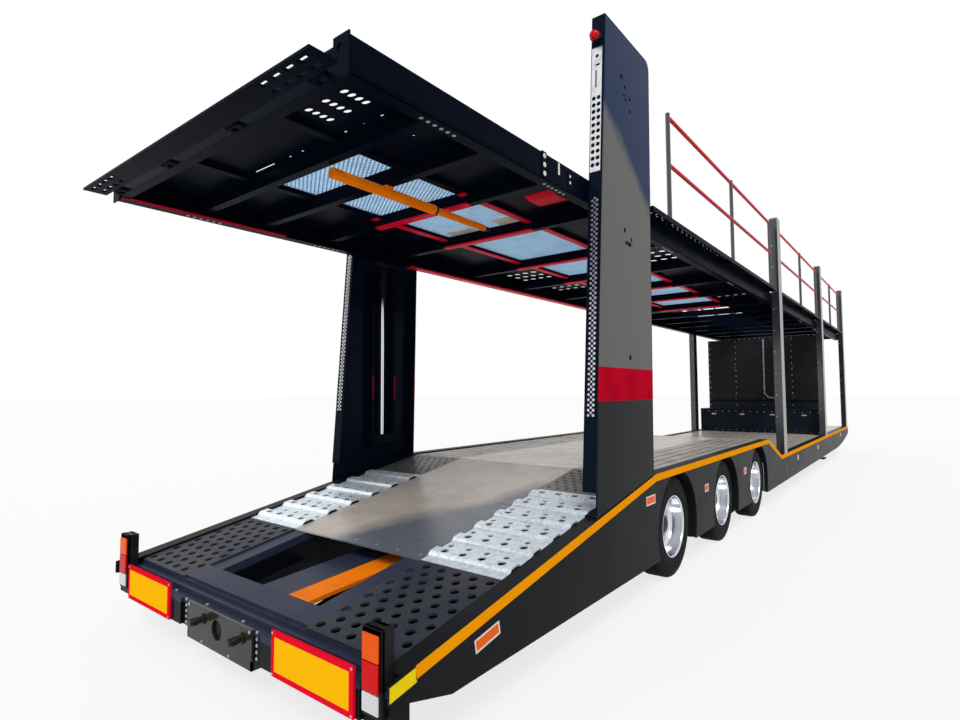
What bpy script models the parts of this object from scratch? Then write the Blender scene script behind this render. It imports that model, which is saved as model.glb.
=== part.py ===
# Two-deck car transporter semi-trailer on three twin-wheeled axles, parked on its legs.
# Metres, +Z up, +Y forward, +X to the right.  Stations along the trailer, called s,
# count forward from the rear face of the tail; fwd() turns them into Y.

import math

import bmesh
import bpy
from mathutils import Matrix, Vector

# Clearances
GAP = 0.0003            # between pieces that touch
RUN = 0.006             # beside pieces that move
BITE = 0.002            # how far a member reaches into the one it is welded to

# Whole trailer
WIDTH = 2.55
HALF = WIDTH / 2
NOSE_S = 15.10          # front end of the side raves
TYRE_R = 0.3925
AXLE_S = 3.07           # rearmost axle
AXLE_PITCH = 1.36
AXLES = 3

# Side raves: the top line falls to the tail and to the well
TAIL_Z = 0.390
OVER_Z = 2 * TYRE_R + 0.071     # over the wheels
WELL_Z = 0.590
KNEE_S = 2.62
DROP_S = 6.33
WELL_S = 7.11
SKIRT_T = 0.008
FLANGE_W = 0.100
FLANGE_T = 0.010
SKIRT_Z = 0.225         # lower edge
SKIRT_TAIL_Z = 0.320
SKIRT_TAIL_S = 0.35
SKIRT_RISE_S = 12.70    # where the lower edge starts to sweep up to the nose
SKIRT_NOSE_Z = 0.420
SWEEP_STEPS = 6

# Across the trailer: twin wheels, longitudinals, tracks of the lower deck
TYRE_W = 0.212
TWIN_PITCH = 0.250
TYRE_OUT = HALF - 0.037                         # outer wall of the outer tyre
TYRE_IN = TYRE_OUT - TWIN_PITCH - TYRE_W        # inner wall of the inner tyre
LONG_X = (TYRE_IN - 0.306, TYRE_IN - 0.226)
TRACK_IN = LONG_X[1] + 0.050
TRACK_GAP = 0.010       # between the deck's tracks and the rave's flange
TRACK_OUT = HALF - FLANGE_W - TRACK_GAP

# Decks
DECK_DROP = 0.012       # deck surface below the rave's top line
PLATE_T = 0.010
TAIL_PLATE_S = (0.120, 0.857)
GRIP_S = (0.862, 2.098)
GRIP_RIBS = 6
GRIP_RIB_RISE = 0.022
KNEE_PLATE_S = 2.103
SLAT_T = 0.030
SLATS = 5
SLAT_GAP = 0.022
TIE_H = 0.018

# Main frame
LONG_TAIL_Z = 0.240
LONG_OVER_Z = TYRE_R + 0.1675
LONG_WELL_Z = 0.250
LONG_RISE_S = (AXLE_S - 1.00, AXLE_S - 0.66)    # its underside climbs over the axles
LONG_FALL_S = (DROP_S + 0.12, WELL_S - 0.10)    # and comes down again
LONG_SWEEP_L = 0.450    # sweep up to the coupling plate
CROSS_W = 0.060
CROSS_H = 0.100
CROSS_TAIL = (1.070, 1.580, 2.070)
CROSS_WHEEL = (2.575, 3.720, 5.080, 6.240)
CROSS_WELL_S = 7.150
CROSS_WELL_PITCH = 0.700
WHEEL_CROSS_H = 0.160
TAIL_SHELF_S = (0.135, 0.270)   # plate across the tail, in the deck's plane
LEDGE_W = 0.190         # carries the inner edge of each track from the frame
LEDGE_T = 0.012
SPINE_X = (-0.234 * LONG_X[0], 0.281 * LONG_X[0])
SPINE_H = 0.110
SPINE_REAR_DROP = 0.012     # its top, below the shelf's underside
SPINE_FRONT_Z = 0.440
COUPLING_S = (14.24, 15.04)
CROSS_WELL_COUNT = int((COUPLING_S[0] - CROSS_WELL_S) / CROSS_WELL_PITCH) + 1
COUPLING_HALF = LONG_X[1] + 0.050
COUPLING_Z = 0.490
COUPLING_T = 0.014
KINGPIN_S = 14.60
KINGPIN_R = 0.0254
KINGPIN_L = 0.084

# Tail
TAIL_BEAM_S = (0.030, 0.115)
TAIL_BEAM_Z = (0.205, 0.372)
TAIL_STEP_S = 0.075
TAIL_STEP_H = 0.027
LAMP_X = (HALF - 0.160, HALF - 0.048)
BACKING_X = (0.400, LAMP_X[0] - 0.020)
BACKING_T = 0.015
BOARD_L = 0.565
BOARD_X = (LAMP_X[0] - 0.042 - BOARD_L, LAMP_X[0] - 0.042)
BOARD_Z = (0.205, 0.405)
BOARD_T = 0.0147
CENTRE_PLATE_HALF = 0.320
CENTRE_PLATE_Z = (0.160, 0.350)
CENTRE_PLATE_T = 0.012
CENTRE_HOLE_Z = 0.275
CENTRE_HOLE_R = 0.036
LAMP_Z = (0.245, 0.575)
LAMP_BEVEL = 0.015
TIE_BAR_W = 0.378 * LONG_X[0]
TIE_BAR_GAP = 0.004     # between the spine and the bar
TIE_BAR_T = 0.020

# Wheels and axles
RIM_R = TYRE_R - 0.1575
ARCH_R = TYRE_R + 0.0425
ARCH_SIDES = 24
ROUND_SIDES = 12        # axle tubes, springs, pins
RAIL_SIDES = 6
TYRE_BEAD = 0.014       # the bead's seat, in from the side wall
TYRE_BULGE = 0.070      # widest point of the side wall, above the rim
TYRE_EDGE = 0.044       # shoulder of the tread
WHEEL_SIDES = 20
AXLE_TUBE_R = 0.0635
SPINDLE_R = 0.045
HUB_X = TYRE_OUT - 0.178    # inner face of the hub, against the spindle's end
DRUM_X = HUB_X - 0.260
DRUM_R = 0.165
ARM_X = (LONG_X[0] + LONG_X[1]) / 2
ARM_W = 0.080
ARM_PIVOT = (0.42, 0.09)    # forward of and above the axle
SPRING_S = -0.33
SPRING_R = 0.115
SPRING_SEAT = 0.030

# Landing legs
LEG_CROSS = 8           # the well's cross-member that the legs stand behind
LEG_X = TRACK_OUT - 0.215
LEG_W = 0.120
LEG_INNER_W = 0.090
LEG_BOTTOM_Z = 0.160
FOOT_W = 0.260
FOOT_T = 0.025
LEG_SHAFT_R = 0.018
LEG_SHAFT_Z = 0.205

# Locker and bulkhead
LOCKER_S = (11.62, 12.26)
LOCKER_TOP_Z = 1.050
LOCKER_HALF = TRACK_OUT - 0.005
SHEET_T = 0.012
LID_T = 0.024
LID_OVERHANG = 0.020
LID_PIVOT_OUT = 0.010
BULKHEAD_S = 12.300
BULKHEAD_T = 0.012
BULKHEAD_TOP_Z = 2.620
BULKHEAD_RIB = 0.060        # width and depth of its framing
BULKHEAD_RIB_COUNT = 5
BULKHEAD_RIBS_Z = (1.40, 2.05, BULKHEAD_TOP_Z - BULKHEAD_RIB / 2)

# Rear towers
POST_GAP = 0.010            # between an upper deck and the towers and posts
TOWER_OUT = HALF - 0.005
TOWER_IN = TRACK_OUT + POST_GAP
TOWER_T = 0.010
TOWER_BASE_S = (1.675, 2.585)
TOWER_TOP_S = (1.910, 2.655)
TOWER_REAR_Z = 3.970
TOWER_FRONT_Z = 3.920
GUIDE_S = (2.060, 2.340)
GUIDE_T = 0.010
GUIDE_Z = (0.95, 3.70)
LIFT_S = 2.200
ROD_R = 0.020
ROD_FOOT_Z = 1.070
ROD_TOP_Z = 2.450
FOOT_BLOCK = 0.090
FOOT_BLOCK_W = 0.072
BARREL_R = 0.034
BARREL_Z = (2.353, 3.350)
SHOE_Z = (2.660, 2.880)
LIFT_SIDES = 12

# Front posts
POST_X = (TRACK_OUT + POST_GAP, HALF)
POST_L = 0.200
POST_S = (7.300, 11.300, 14.800)
POST_TOP_Z = 3.900
POST_CAP = 0.030
POST_SLOT_L = 0.070
POST_SLOT_D = 0.060
POST_SLOT_Z = (0.85, 3.72)

# Upper decks
BEAM_Z = (2.690, 2.840)
BEAM_X = (TRACK_OUT - 0.080, TRACK_OUT)
BEAM_T = 0.012
REAR_DECK_S = -0.110
HINGE_Z = (BEAM_Z[0] + BEAM_Z[1]) / 2
REAR_HINGE_S = POST_S[0] + POST_L / 2
REAR_DECK_END_S = REAR_HINGE_S + 0.060
FRONT_DECK_S = POST_S[0] + POST_L
FRONT_HINGE_S = POST_S[2] + POST_L / 2
FRONT_DECK_END_S = FRONT_HINGE_S + 0.080
BOSS_R = 0.050
UPPER_TRACK_IN = 0.460
UPPER_TRACK_T = 0.010
UPPER_TRACK_Z = BEAM_Z[1] - BEAM_T - UPPER_TRACK_T + BITE
UPPER_CROSS_W = 0.060
UPPER_CROSS_Z = (UPPER_TRACK_Z - 0.090, UPPER_TRACK_Z + BITE)
UPPER_CROSS_PITCH = 0.860
REAR_CROSS = (0.410, 0.860, 1.450, 2.240, 3.370, 4.370, 5.370, 6.370)
INNER_RAIL_W = 0.050
INNER_RAIL_H = 0.030    # below the track
MESH_T = 0.004
MESH_REAR_S = REAR_CROSS[0] + UPPER_CROSS_W + 0.005
MESH_COLUMNS = 4
MESH_ROWS = 12
MESH_BAR = 0.045

# Flap at the upper deck's rear end
FLAP_PIVOT_S = REAR_DECK_S - 0.030
FLAP_PIVOT_Z = BEAM_Z[0] + 0.022
FLAP_PIN_R = 0.012
FLAP_L = 0.145
FLAP_T = 0.014
FLAP_HALF = TRACK_OUT - 0.015
FLAP_LUG_W = 0.050
FLAP_LUGS_X = (-0.87 * FLAP_HALF, -0.30 * FLAP_HALF, 0.30 * FLAP_HALF, 0.87 * FLAP_HALF)

# Orange cylinder under the upper deck
STRUT_X = 0.275
STRUT_R = 0.032
STRUT_ROD_R = 0.024
STRUT_Z = UPPER_CROSS_Z[0] - STRUT_R - 0.004
STRUT_S = (REAR_CROSS[0] + UPPER_CROSS_W + 0.008, 1.320, 1.870)

# Walkways and railings
WALK_X = (TRACK_OUT, HALF - 0.005)
WALK_Z = (BEAM_Z[1] - 0.012, BEAM_Z[1] + 0.030)
RAIL_X = HALF - 0.057
RAIL_R = 0.017
RAIL_POST_R = 0.019
RAIL_TOP_Z = 3.770
RAIL_MID_Z = 3.360
# name, walkway from, walkway to, stations of the railing's posts
RAILINGS = (
    ("rear", 2.690, 7.160, (3.19, 5.15, 7.06)),
    ("mid", 7.560, 11.200, (7.72, 9.42, 11.08)),
    ("front", 11.560, 14.620, (11.72, 13.10, 14.48)),
)

SIDES = (("right", 1), ("left", -1))

FLAP_TIP_S = FLAP_PIVOT_S - FLAP_L
MID_S = (FLAP_TIP_S + NOSE_S) / 2


def fwd(s):
    return s - MID_S


def along(line, s):
    """Height of a side-view line, given as (s, z) corners, at station s."""
    for (s0, z0), (s1, z1) in zip(line, line[1:]):
        if s <= s1:
            return z0 + (z1 - z0) * (s - s0) / (s1 - s0)
    return line[-1][1]


RAVE_TOP = ((0.0, TAIL_Z), (KNEE_S, OVER_Z), (DROP_S, OVER_Z), (WELL_S, WELL_Z), (NOSE_S, WELL_Z))


def rave_z(s):
    return along(RAVE_TOP, s)


def deck_z(s):
    return rave_z(s) - DECK_DROP


def under_z(s0, s1, thick):
    """Highest level that stays below a deck plate between two stations."""
    return min(deck_z(s0), deck_z(s1)) - thick - GAP


# Materials

def paint(name, colour, roughness, metallic=0.0):
    mat = bpy.data.materials.new(name)
    mat.use_nodes = True
    shader = mat.node_tree.nodes["Principled BSDF"]
    shader.inputs["Base Color"].default_value = (*colour, 1.0)
    shader.inputs["Roughness"].default_value = roughness
    shader.inputs["Metallic"].default_value = metallic
    return mat


# Shapes.  Each returns a bmesh in world coordinates.

def prism(outline, x0, x1):
    """A side-view outline of (s, z) corners, pushed across from x0 to x1."""
    bm = bmesh.new()
    face = bm.faces.new([bm.verts.new((x0, fwd(s), z)) for s, z in outline])
    grown = bmesh.ops.extrude_face_region(bm, geom=[face])["geom"]
    verts = [v for v in grown if isinstance(v, bmesh.types.BMVert)]
    bmesh.ops.translate(bm, vec=(x1 - x0, 0, 0), verts=verts)
    bmesh.ops.recalc_face_normals(bm, faces=bm.faces)
    return bm


def block(x, s, z):
    return prism(((s[0], z[0]), (s[1], z[0]), (s[1], z[1]), (s[0], z[1])), x[0], x[1])


def ribbon(line, s0, s1, depth, x0, x1, lower=0.0):
    """A plate that follows a side-view line from s0 to s1, `lower` beneath it."""
    stations = [s0] + [s for s, _ in line if s0 < s < s1] + [s1]
    top = [(s, along(line, s) - lower) for s in stations]
    return prism(top + [(s, z - depth) for s, z in reversed(top)], x0, x1)


def rod(start, end, radius, sides, turn=0.0):
    """A round bar between two (x, s, z) points."""
    a = Vector((start[0], fwd(start[1]), start[2]))
    b = Vector((end[0], fwd(end[1]), end[2]))
    run = b - a
    place = Matrix.Translation((a + b) / 2) @ run.to_track_quat("Z", "Y").to_matrix().to_4x4()
    bm = bmesh.new()
    bmesh.ops.create_cone(bm, cap_ends=True, segments=sides, radius1=radius, radius2=radius,
                          depth=run.length, matrix=place @ Matrix.Rotation(turn, 4, "Z"))
    return bm


def lathe(profile, s, z, side, sides):
    """A closed (x, r) profile turned about the line along X at station s, height z."""
    bm = bmesh.new()
    verts = [bm.verts.new((side * x, fwd(s), z + r)) for x, r in profile]
    for a, b in zip(verts, verts[1:] + verts[:1]):
        if abs(profile[verts.index(a)][1]) + abs(profile[verts.index(b)][1]) > 0:
            bm.edges.new((a, b))
    bmesh.ops.spin(bm, geom=list(bm.verts) + list(bm.edges), cent=(0, fwd(s), z), axis=(1, 0, 0),
                   angle=math.tau, steps=sides, use_merge=True)
    bmesh.ops.remove_doubles(bm, verts=bm.verts, dist=1e-5)
    bmesh.ops.recalc_face_normals(bm, faces=bm.faces)
    return bm


def across(side, low, high):
    """The span from low to high on one side of the trailer, in rising X."""
    return (low, high) if side > 0 else (-high, -low)


def both(low, high):
    return [across(side, low, high) for _, side in SIDES]


# Objects

def as_object(name, bm):
    mesh = bpy.data.meshes.new(name)
    bm.to_mesh(mesh)
    bm.free()
    obj = bpy.data.objects.new(name, mesh)
    bpy.context.scene.collection.objects.link(obj)
    return obj


def pivot(name, x, s, z):
    empty = bpy.data.objects.new(name, None)
    empty.location = (x, fwd(s), z)
    bpy.context.scene.collection.objects.link(empty)
    return empty


def merge_flat(mesh):
    """Join the coplanar faces that a weld leaves."""
    bm = bmesh.new()
    bm.from_mesh(mesh)
    bmesh.ops.dissolve_limit(bm, angle_limit=math.radians(0.05), verts=bm.verts, edges=bm.edges)
    bm.to_mesh(mesh)
    bm.free()


def piece(name, finish, welded, cuts=(), origin=None, parent=None):
    """One sub-part: its members welded together, the cuts taken out, one closed body."""
    body = as_object(name, welded[0])
    helpers = []
    groups = []
    for members, operation in ((welded[1:], "UNION"), (cuts, "DIFFERENCE")):
        if not members:
            continue
        group = bpy.data.collections.new(name + "_" + operation.lower())
        bpy.context.scene.collection.children.link(group)
        groups.append(group)
        for bm in members:
            helper = as_object(name + "_member", bm)
            bpy.context.scene.collection.objects.unlink(helper)
            group.objects.link(helper)
            helpers.append(helper)
        weld = body.modifiers.new(operation.title(), "BOOLEAN")
        weld.operation = operation
        weld.operand_type = "COLLECTION"
        weld.collection = group
        weld.solver = "EXACT"
    bpy.context.view_layer.update()
    mesh = bpy.data.meshes.new_from_object(body.evaluated_get(bpy.context.evaluated_depsgraph_get()))
    body.modifiers.clear()
    body.data = mesh
    mesh.name = name
    if len(welded) > 1 or cuts:
        merge_flat(mesh)
    for helper in helpers:
        bpy.data.objects.remove(helper)
    for group in groups:
        bpy.data.collections.remove(group)
    home = Vector((0, 0, 0))
    if parent:
        home = parent.location.copy()
        body.parent = parent
    place = Vector((origin[0], fwd(origin[1]), origin[2])) if origin else home
    mesh.transform(Matrix.Translation(-place))
    body.location = place - home
    mesh.materials.clear()
    mesh.materials.append(finish)
    mesh.shade_smooth()
    mesh.set_sharp_from_angle(angle=math.radians(32))
    return body


for old in list(bpy.data.objects):
    bpy.data.objects.remove(old)

BLACK = paint("gloss_black", (0.010, 0.011, 0.014), 0.22, 0.2)
FRAME = paint("frame_black", (0.014, 0.015, 0.018), 0.45, 0.1)
DECK = paint("deck_blue_black", (0.030, 0.034, 0.044), 0.38, 0.4)
ZINC = paint("galvanised", (0.62, 0.66, 0.70), 0.35, 0.9)
ALLOY = paint("rim_alloy", (0.75, 0.76, 0.78), 0.18, 1.0)
RUBBER = paint("tyre_rubber", (0.016, 0.016, 0.017), 0.80)
ORANGE = paint("orange", (0.95, 0.22, 0.01), 0.40)
RED = paint("rail_red", (0.60, 0.01, 0.02), 0.40)
SIGN = paint("rear_marking", (0.80, 0.35, 0.02), 0.45)
LENS = paint("lamp_lens", (0.45, 0.02, 0.01), 0.20)


# Side raves: skirt plate with three open wheel arches, and the flange along its top

def skirt_outline():
    sweep = []
    for n in range(SWEEP_STEPS + 1):
        t = n / SWEEP_STEPS
        sweep.append((SKIRT_RISE_S + (NOSE_S - SKIRT_RISE_S) * t,
                      SKIRT_Z + (SKIRT_NOSE_Z - SKIRT_Z) * t * t))
    lower = [(0.0, SKIRT_TAIL_Z), (SKIRT_TAIL_S, SKIRT_Z)] + sweep
    return list(RAVE_TOP) + lower[::-1]


def axle_station(n):
    return AXLE_S + AXLE_PITCH * n


for tag, side in SIDES:
    skirt = prism(skirt_outline(), *across(side, HALF - SKIRT_T, HALF))
    flange = ribbon(RAVE_TOP, TAIL_STEP_S, NOSE_S, FLANGE_T, *across(side, HALF - FLANGE_W, HALF - BITE))
    arches = [rod((side * (HALF - 0.05), axle_station(n), TYRE_R),
                  (side * (HALF + 0.05), axle_station(n), TYRE_R), ARCH_R, ARCH_SIDES) for n in range(AXLES)]
    piece("side_rave_" + tag, BLACK, [skirt, flange], arches, origin=(side * HALF, 0, TAIL_Z))


# Main frame: two longitudinals, cross-members, tail spine and coupling plate

def longitudinal_outline():
    """Follows the decks on top; clears the axles and the coupling below."""
    start = TAIL_BEAM_S[1] + GAP
    top_s = [start, KNEE_S, DROP_S, WELL_S, COUPLING_S[1]]
    top = [(s, deck_z(s) - PLATE_T - BITE) for s in top_s]
    bottom = [(start, LONG_TAIL_Z), (LONG_RISE_S[0], LONG_TAIL_Z), (LONG_RISE_S[1], LONG_OVER_Z),
              (LONG_FALL_S[0], LONG_OVER_Z), (LONG_FALL_S[1], LONG_WELL_Z),
              (COUPLING_S[0] - LONG_SWEEP_L, LONG_WELL_Z), (COUPLING_S[0], COUPLING_Z), (COUPLING_S[1], COUPLING_Z)]
    return top + bottom[::-1]


def cross_member(s, reach, height=CROSS_H, thick=PLATE_T):
    top = under_z(s, s + CROSS_W, thick)
    return block((-reach, reach), (s, s + CROSS_W), (top - height, top))


REACH = HALF - SKIRT_T - GAP
frame_members = [prism(longitudinal_outline(), *span) for span in both(*LONG_X)]
frame_members += [cross_member(s, REACH) for s in CROSS_TAIL]
frame_members += [cross_member(s, REACH, WHEEL_CROSS_H, SLAT_T + TIE_H) for s in CROSS_WHEEL]
frame_members += [cross_member(CROSS_WELL_S + CROSS_WELL_PITCH * n, REACH)
                  for n in range(CROSS_WELL_COUNT)]
frame_members.append(cross_member(TAIL_BEAM_S[1] + GAP, REACH))
frame_members.append(ribbon(RAVE_TOP, *TAIL_SHELF_S, PLATE_T + BITE + GAP, -TRACK_IN + GAP, TRACK_IN - GAP,
                            lower=DECK_DROP))
for span in both(LONG_X[0] + BITE, LONG_X[0] + LEDGE_W):
    frame_members.append(ribbon(RAVE_TOP, TAIL_SHELF_S[1] - BITE, CROSS_TAIL[2] + BITE, LEDGE_T, *span,
                                lower=DECK_DROP + PLATE_T + GAP))
spine_s = (TAIL_BEAM_S[1] + GAP + CROSS_W - BITE, CROSS_TAIL[0] + BITE)
spine_rear = under_z(*TAIL_SHELF_S, PLATE_T) - SPINE_REAR_DROP
frame_members.append(prism(((spine_s[0], spine_rear - SPINE_H), (spine_s[1], SPINE_FRONT_Z - SPINE_H),
                            (spine_s[1], SPINE_FRONT_Z), (spine_s[0], spine_rear)), *SPINE_X))
frame_members.append(block((-COUPLING_HALF, COUPLING_HALF), COUPLING_S,
                           (COUPLING_Z - BITE, COUPLING_Z + COUPLING_T)))
frame_members.append(rod((0, KINGPIN_S, COUPLING_Z + BITE), (0, KINGPIN_S, COUPLING_Z - KINGPIN_L),
                         KINGPIN_R, ROUND_SIDES))
piece("main_frame", FRAME, frame_members, origin=(0, TAIL_BEAM_S[1], LONG_WELL_Z))


# Tail: cross beam with backing plates, centre plate, marker boards, lamps, orange bar

step_z = TAIL_BEAM_Z[1] - TAIL_STEP_H
beam_outline = ((TAIL_BEAM_S[0], TAIL_BEAM_Z[0]), (TAIL_BEAM_S[1], TAIL_BEAM_Z[0]),
                (TAIL_BEAM_S[1], TAIL_BEAM_Z[1]), (TAIL_STEP_S, TAIL_BEAM_Z[1]),
                (TAIL_STEP_S, step_z), (TAIL_BEAM_S[0], step_z))
tail_members = [prism(beam_outline, -REACH, REACH)]
for span in both(*BACKING_X):
    tail_members.append(block(span, (TAIL_BEAM_S[0] - BACKING_T, TAIL_BEAM_S[0] + BITE),
                              (BOARD_Z[0], step_z - 0.002)))
piece("tail_beam", BLACK, tail_members, origin=(0, TAIL_BEAM_S[0], TAIL_BEAM_Z[0]))

plate_s = TAIL_BEAM_S[0] - GAP
piece("tail_centre_plate", BLACK,
      [block((-CENTRE_PLATE_HALF, CENTRE_PLATE_HALF), (plate_s - CENTRE_PLATE_T, plate_s), CENTRE_PLATE_Z)],
      [rod((0, plate_s - 0.05, CENTRE_HOLE_Z), (0, plate_s + 0.05, CENTRE_HOLE_Z), CENTRE_HOLE_R, ROUND_SIDES)],
      origin=(0, plate_s, CENTRE_PLATE_Z[0]))

board_s = TAIL_BEAM_S[0] - BACKING_T - GAP
for tag, side in SIDES:
    piece("marker_board_" + tag, SIGN,
          [block(across(side, *BOARD_X), (board_s - BOARD_T, board_s), BOARD_Z)],
          origin=(side * BOARD_X[0], board_s, BOARD_Z[0]))
    low, high = LAMP_Z
    back = TAIL_BEAM_S[0] - GAP
    lamp = ((0.0, low), (back, low), (back, step_z + GAP), (TAIL_STEP_S - GAP, step_z + GAP),
            (TAIL_STEP_S - GAP, high - LAMP_BEVEL), (TAIL_STEP_S - LAMP_BEVEL, high), (LAMP_BEVEL, high),
            (0.0, high - LAMP_BEVEL))
    piece("tail_lamp_" + tag, LENS, [prism(lamp, *across(side, *LAMP_X))],
          origin=(side * LAMP_X[0], back, low))

bar_s = (spine_s[0] + BITE + GAP, CROSS_TAIL[0] - GAP)
bar_x = (SPINE_X[1] + TIE_BAR_GAP, SPINE_X[1] + TIE_BAR_GAP + TIE_BAR_W)
piece("tail_tie_bar", ORANGE,
      [prism(((bar_s[0], spine_rear - TIE_BAR_T), (bar_s[1], SPINE_FRONT_Z - TIE_BAR_T),
              (bar_s[1], SPINE_FRONT_Z), (bar_s[0], spine_rear)), *bar_x)],
      origin=(bar_x[0], bar_s[0], spine_rear))


# Lower deck: tail plates, ribbed grip tracks, centre sheet with knee plates, slats, well

def grip_track(span):
    """A plate with cross ribs, their tops rounded off by chamfers."""
    start, end = GRIP_S
    pitch = (end - start) / GRIP_RIBS
    outline = [(start, deck_z(start))]
    for n in range(GRIP_RIBS):
        foot = start + pitch * (n + 0.25)
        for part, rise in ((0.0, 0.0), (0.10, 1.0), (0.42, 1.0), (0.52, 0.0)):
            s = foot + pitch * part
            outline.append((s, deck_z(s) + GRIP_RIB_RISE * rise))
    outline.append((end, deck_z(end)))
    outline += [(end, deck_z(end) - PLATE_T), (start, deck_z(start) - PLATE_T)]
    return prism(outline, *span)


for tag, side in SIDES:
    span = across(side, TRACK_IN, TRACK_OUT)
    piece("tail_plate_" + tag, DECK, [ribbon(RAVE_TOP, *TAIL_PLATE_S, PLATE_T, *span, lower=DECK_DROP)],
          origin=(side * TRACK_IN, TAIL_PLATE_S[0], deck_z(TAIL_PLATE_S[0])))
    piece("grip_track_" + tag, ZINC, [grip_track(span)],
          origin=(side * TRACK_IN, GRIP_S[0], deck_z(GRIP_S[0])))

sheet_half = TRACK_IN - 0.005
sheet_members = [ribbon(RAVE_TOP, TAIL_PLATE_S[1] + 0.005, DROP_S - 0.003, PLATE_T,
                        -sheet_half, sheet_half, lower=DECK_DROP)]
for span in both(sheet_half - BITE, TRACK_OUT):
    sheet_members.append(ribbon(RAVE_TOP, KNEE_PLATE_S, KNEE_S - 0.003, PLATE_T, *span, lower=DECK_DROP))
piece("centre_sheet", DECK, sheet_members, origin=(0, KNEE_S, deck_z(KNEE_S)))

slat_w = (TRACK_OUT - TRACK_IN - SLAT_GAP * (SLATS - 1)) / SLATS
for tag, side in SIDES:
    slats = []
    for n in range(SLATS):
        low = TRACK_IN + (slat_w + SLAT_GAP) * n
        slats.append(ribbon(RAVE_TOP, KNEE_S + GAP, DROP_S - 0.003, SLAT_T,
                            *across(side, low, low + slat_w), lower=DECK_DROP))
    tie_top = deck_z(KNEE_S + 0.1) - SLAT_T + BITE
    for s in CROSS_WHEEL[1:]:
        slats.append(block(across(side, LONG_X[1] + GAP, TRACK_OUT), (s, s + CROSS_W),
                           (tie_top - BITE - TIE_H, tie_top)))
    slats.append(block(across(side, LONG_X[1] + GAP, TRACK_OUT), (KNEE_S + 0.002, KNEE_S + 0.040),
                       (tie_top - BITE - TIE_H, tie_top)))
    piece("wheel_track_" + tag, ZINC, slats, origin=(side * TRACK_IN, KNEE_S, deck_z(KNEE_S)))

piece("well_deck", DECK,
      [ribbon(RAVE_TOP, DROP_S, NOSE_S - 0.04, PLATE_T, -TRACK_OUT, TRACK_OUT, lower=DECK_DROP)],
      origin=(0, WELL_S, deck_z(WELL_S)))


# Running gear: axle with trailing arms, hangers and air springs; twin wheels

def axle_members(n):
    s = axle_station(n)
    members = [rod((-DRUM_X + 0.01, s, TYRE_R), (DRUM_X - 0.01, s, TYRE_R), AXLE_TUBE_R, ROUND_SIDES),
               rod((-HUB_X + GAP, s, TYRE_R), (HUB_X - GAP, s, TYRE_R), SPINDLE_R, ROUND_SIDES)]
    arm_s, arm_up = ARM_PIVOT
    for _, side in SIDES:
        span = across(side, ARM_X - ARM_W / 2, ARM_X + ARM_W / 2)
        arm = ((s + arm_s + 0.05, TYRE_R + arm_up - 0.04), (s + arm_s + 0.05, TYRE_R + arm_up + 0.04),
               (s + 0.07, TYRE_R + 0.05), (s - 0.07, TYRE_R + 0.04),
               (s + SPRING_S - SPRING_R * 0.6, TYRE_R - SPRING_SEAT),
               (s + SPRING_S - SPRING_R * 0.6, TYRE_R - SPRING_SEAT - 0.025),
               (s - 0.10, TYRE_R - 0.085), (s + 0.10, TYRE_R - 0.085))
        members.append(prism(arm, *span))
        wide = across(side, ARM_X - ARM_W / 2 - 0.012, ARM_X + ARM_W / 2 + 0.012)
        members.append(prism(((s + arm_s - 0.09, LONG_OVER_Z - GAP), (s + arm_s - 0.05, TYRE_R + arm_up - 0.06),
                              (s + arm_s + 0.06, TYRE_R + arm_up - 0.06), (s + arm_s + 0.09, LONG_OVER_Z - GAP)),
                             *wide))
        members.append(rod((side * ARM_X, s + SPRING_S, TYRE_R - SPRING_SEAT - 0.01),
                           (side * ARM_X, s + SPRING_S, LONG_OVER_Z - GAP), SPRING_R, ROUND_SIDES))
    return members


def tyre_profile():
    """Section of the twin tyres, joined at the bead seats."""
    def wall(x_out):
        x_in = x_out - TYRE_W
        return [(x_out - TYRE_BEAD, RIM_R + GAP), (x_out, RIM_R + TYRE_BULGE),
                (x_out - TYRE_EDGE / 4, TYRE_R - TYRE_EDGE / 2), (x_out - TYRE_EDGE, TYRE_R),
                (x_in + TYRE_EDGE, TYRE_R), (x_in + TYRE_EDGE / 4, TYRE_R - TYRE_EDGE / 2),
                (x_in, RIM_R + TYRE_BULGE)]
    outer = wall(TYRE_OUT)
    inner = wall(TYRE_OUT - TWIN_PITCH)
    bridge = [(outer[-1][0] + TYRE_BEAD / 2, RIM_R + TYRE_BEAD), (inner[1][0] - TYRE_BEAD / 2, RIM_R + TYRE_BEAD)]
    last = (inner[-1][0] + TYRE_BEAD, RIM_R + GAP)
    return outer + bridge + inner[1:] + [last]


def rim_profile():
    """Deep-dished outer wheel, barrel of both wheels, hub and brake drum."""
    bore = (SPINDLE_R + GAP) / math.cos(math.pi / WHEEL_SIDES)
    x_out = TYRE_OUT - TYRE_BEAD - GAP
    x_in = TYRE_OUT - TWIN_PITCH - TYRE_W + TYRE_BEAD
    return [(x_out, RIM_R), (x_out + 0.008, RIM_R + 0.004), (x_out + 0.008, RIM_R - 0.010),
            (HUB_X + 0.060, RIM_R - 0.036), (HUB_X + 0.030, DRUM_R),
            (HUB_X + 0.034, 0.100), (HUB_X + 0.090, 0.082), (HUB_X + 0.095, 0.0),
            (HUB_X, 0.0), (HUB_X, bore), (DRUM_X, bore), (DRUM_X, DRUM_R), (HUB_X - 0.010, DRUM_R),
            (HUB_X + 0.006, RIM_R - 0.045), (x_in, RIM_R - 0.020), (x_in, RIM_R)]


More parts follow.
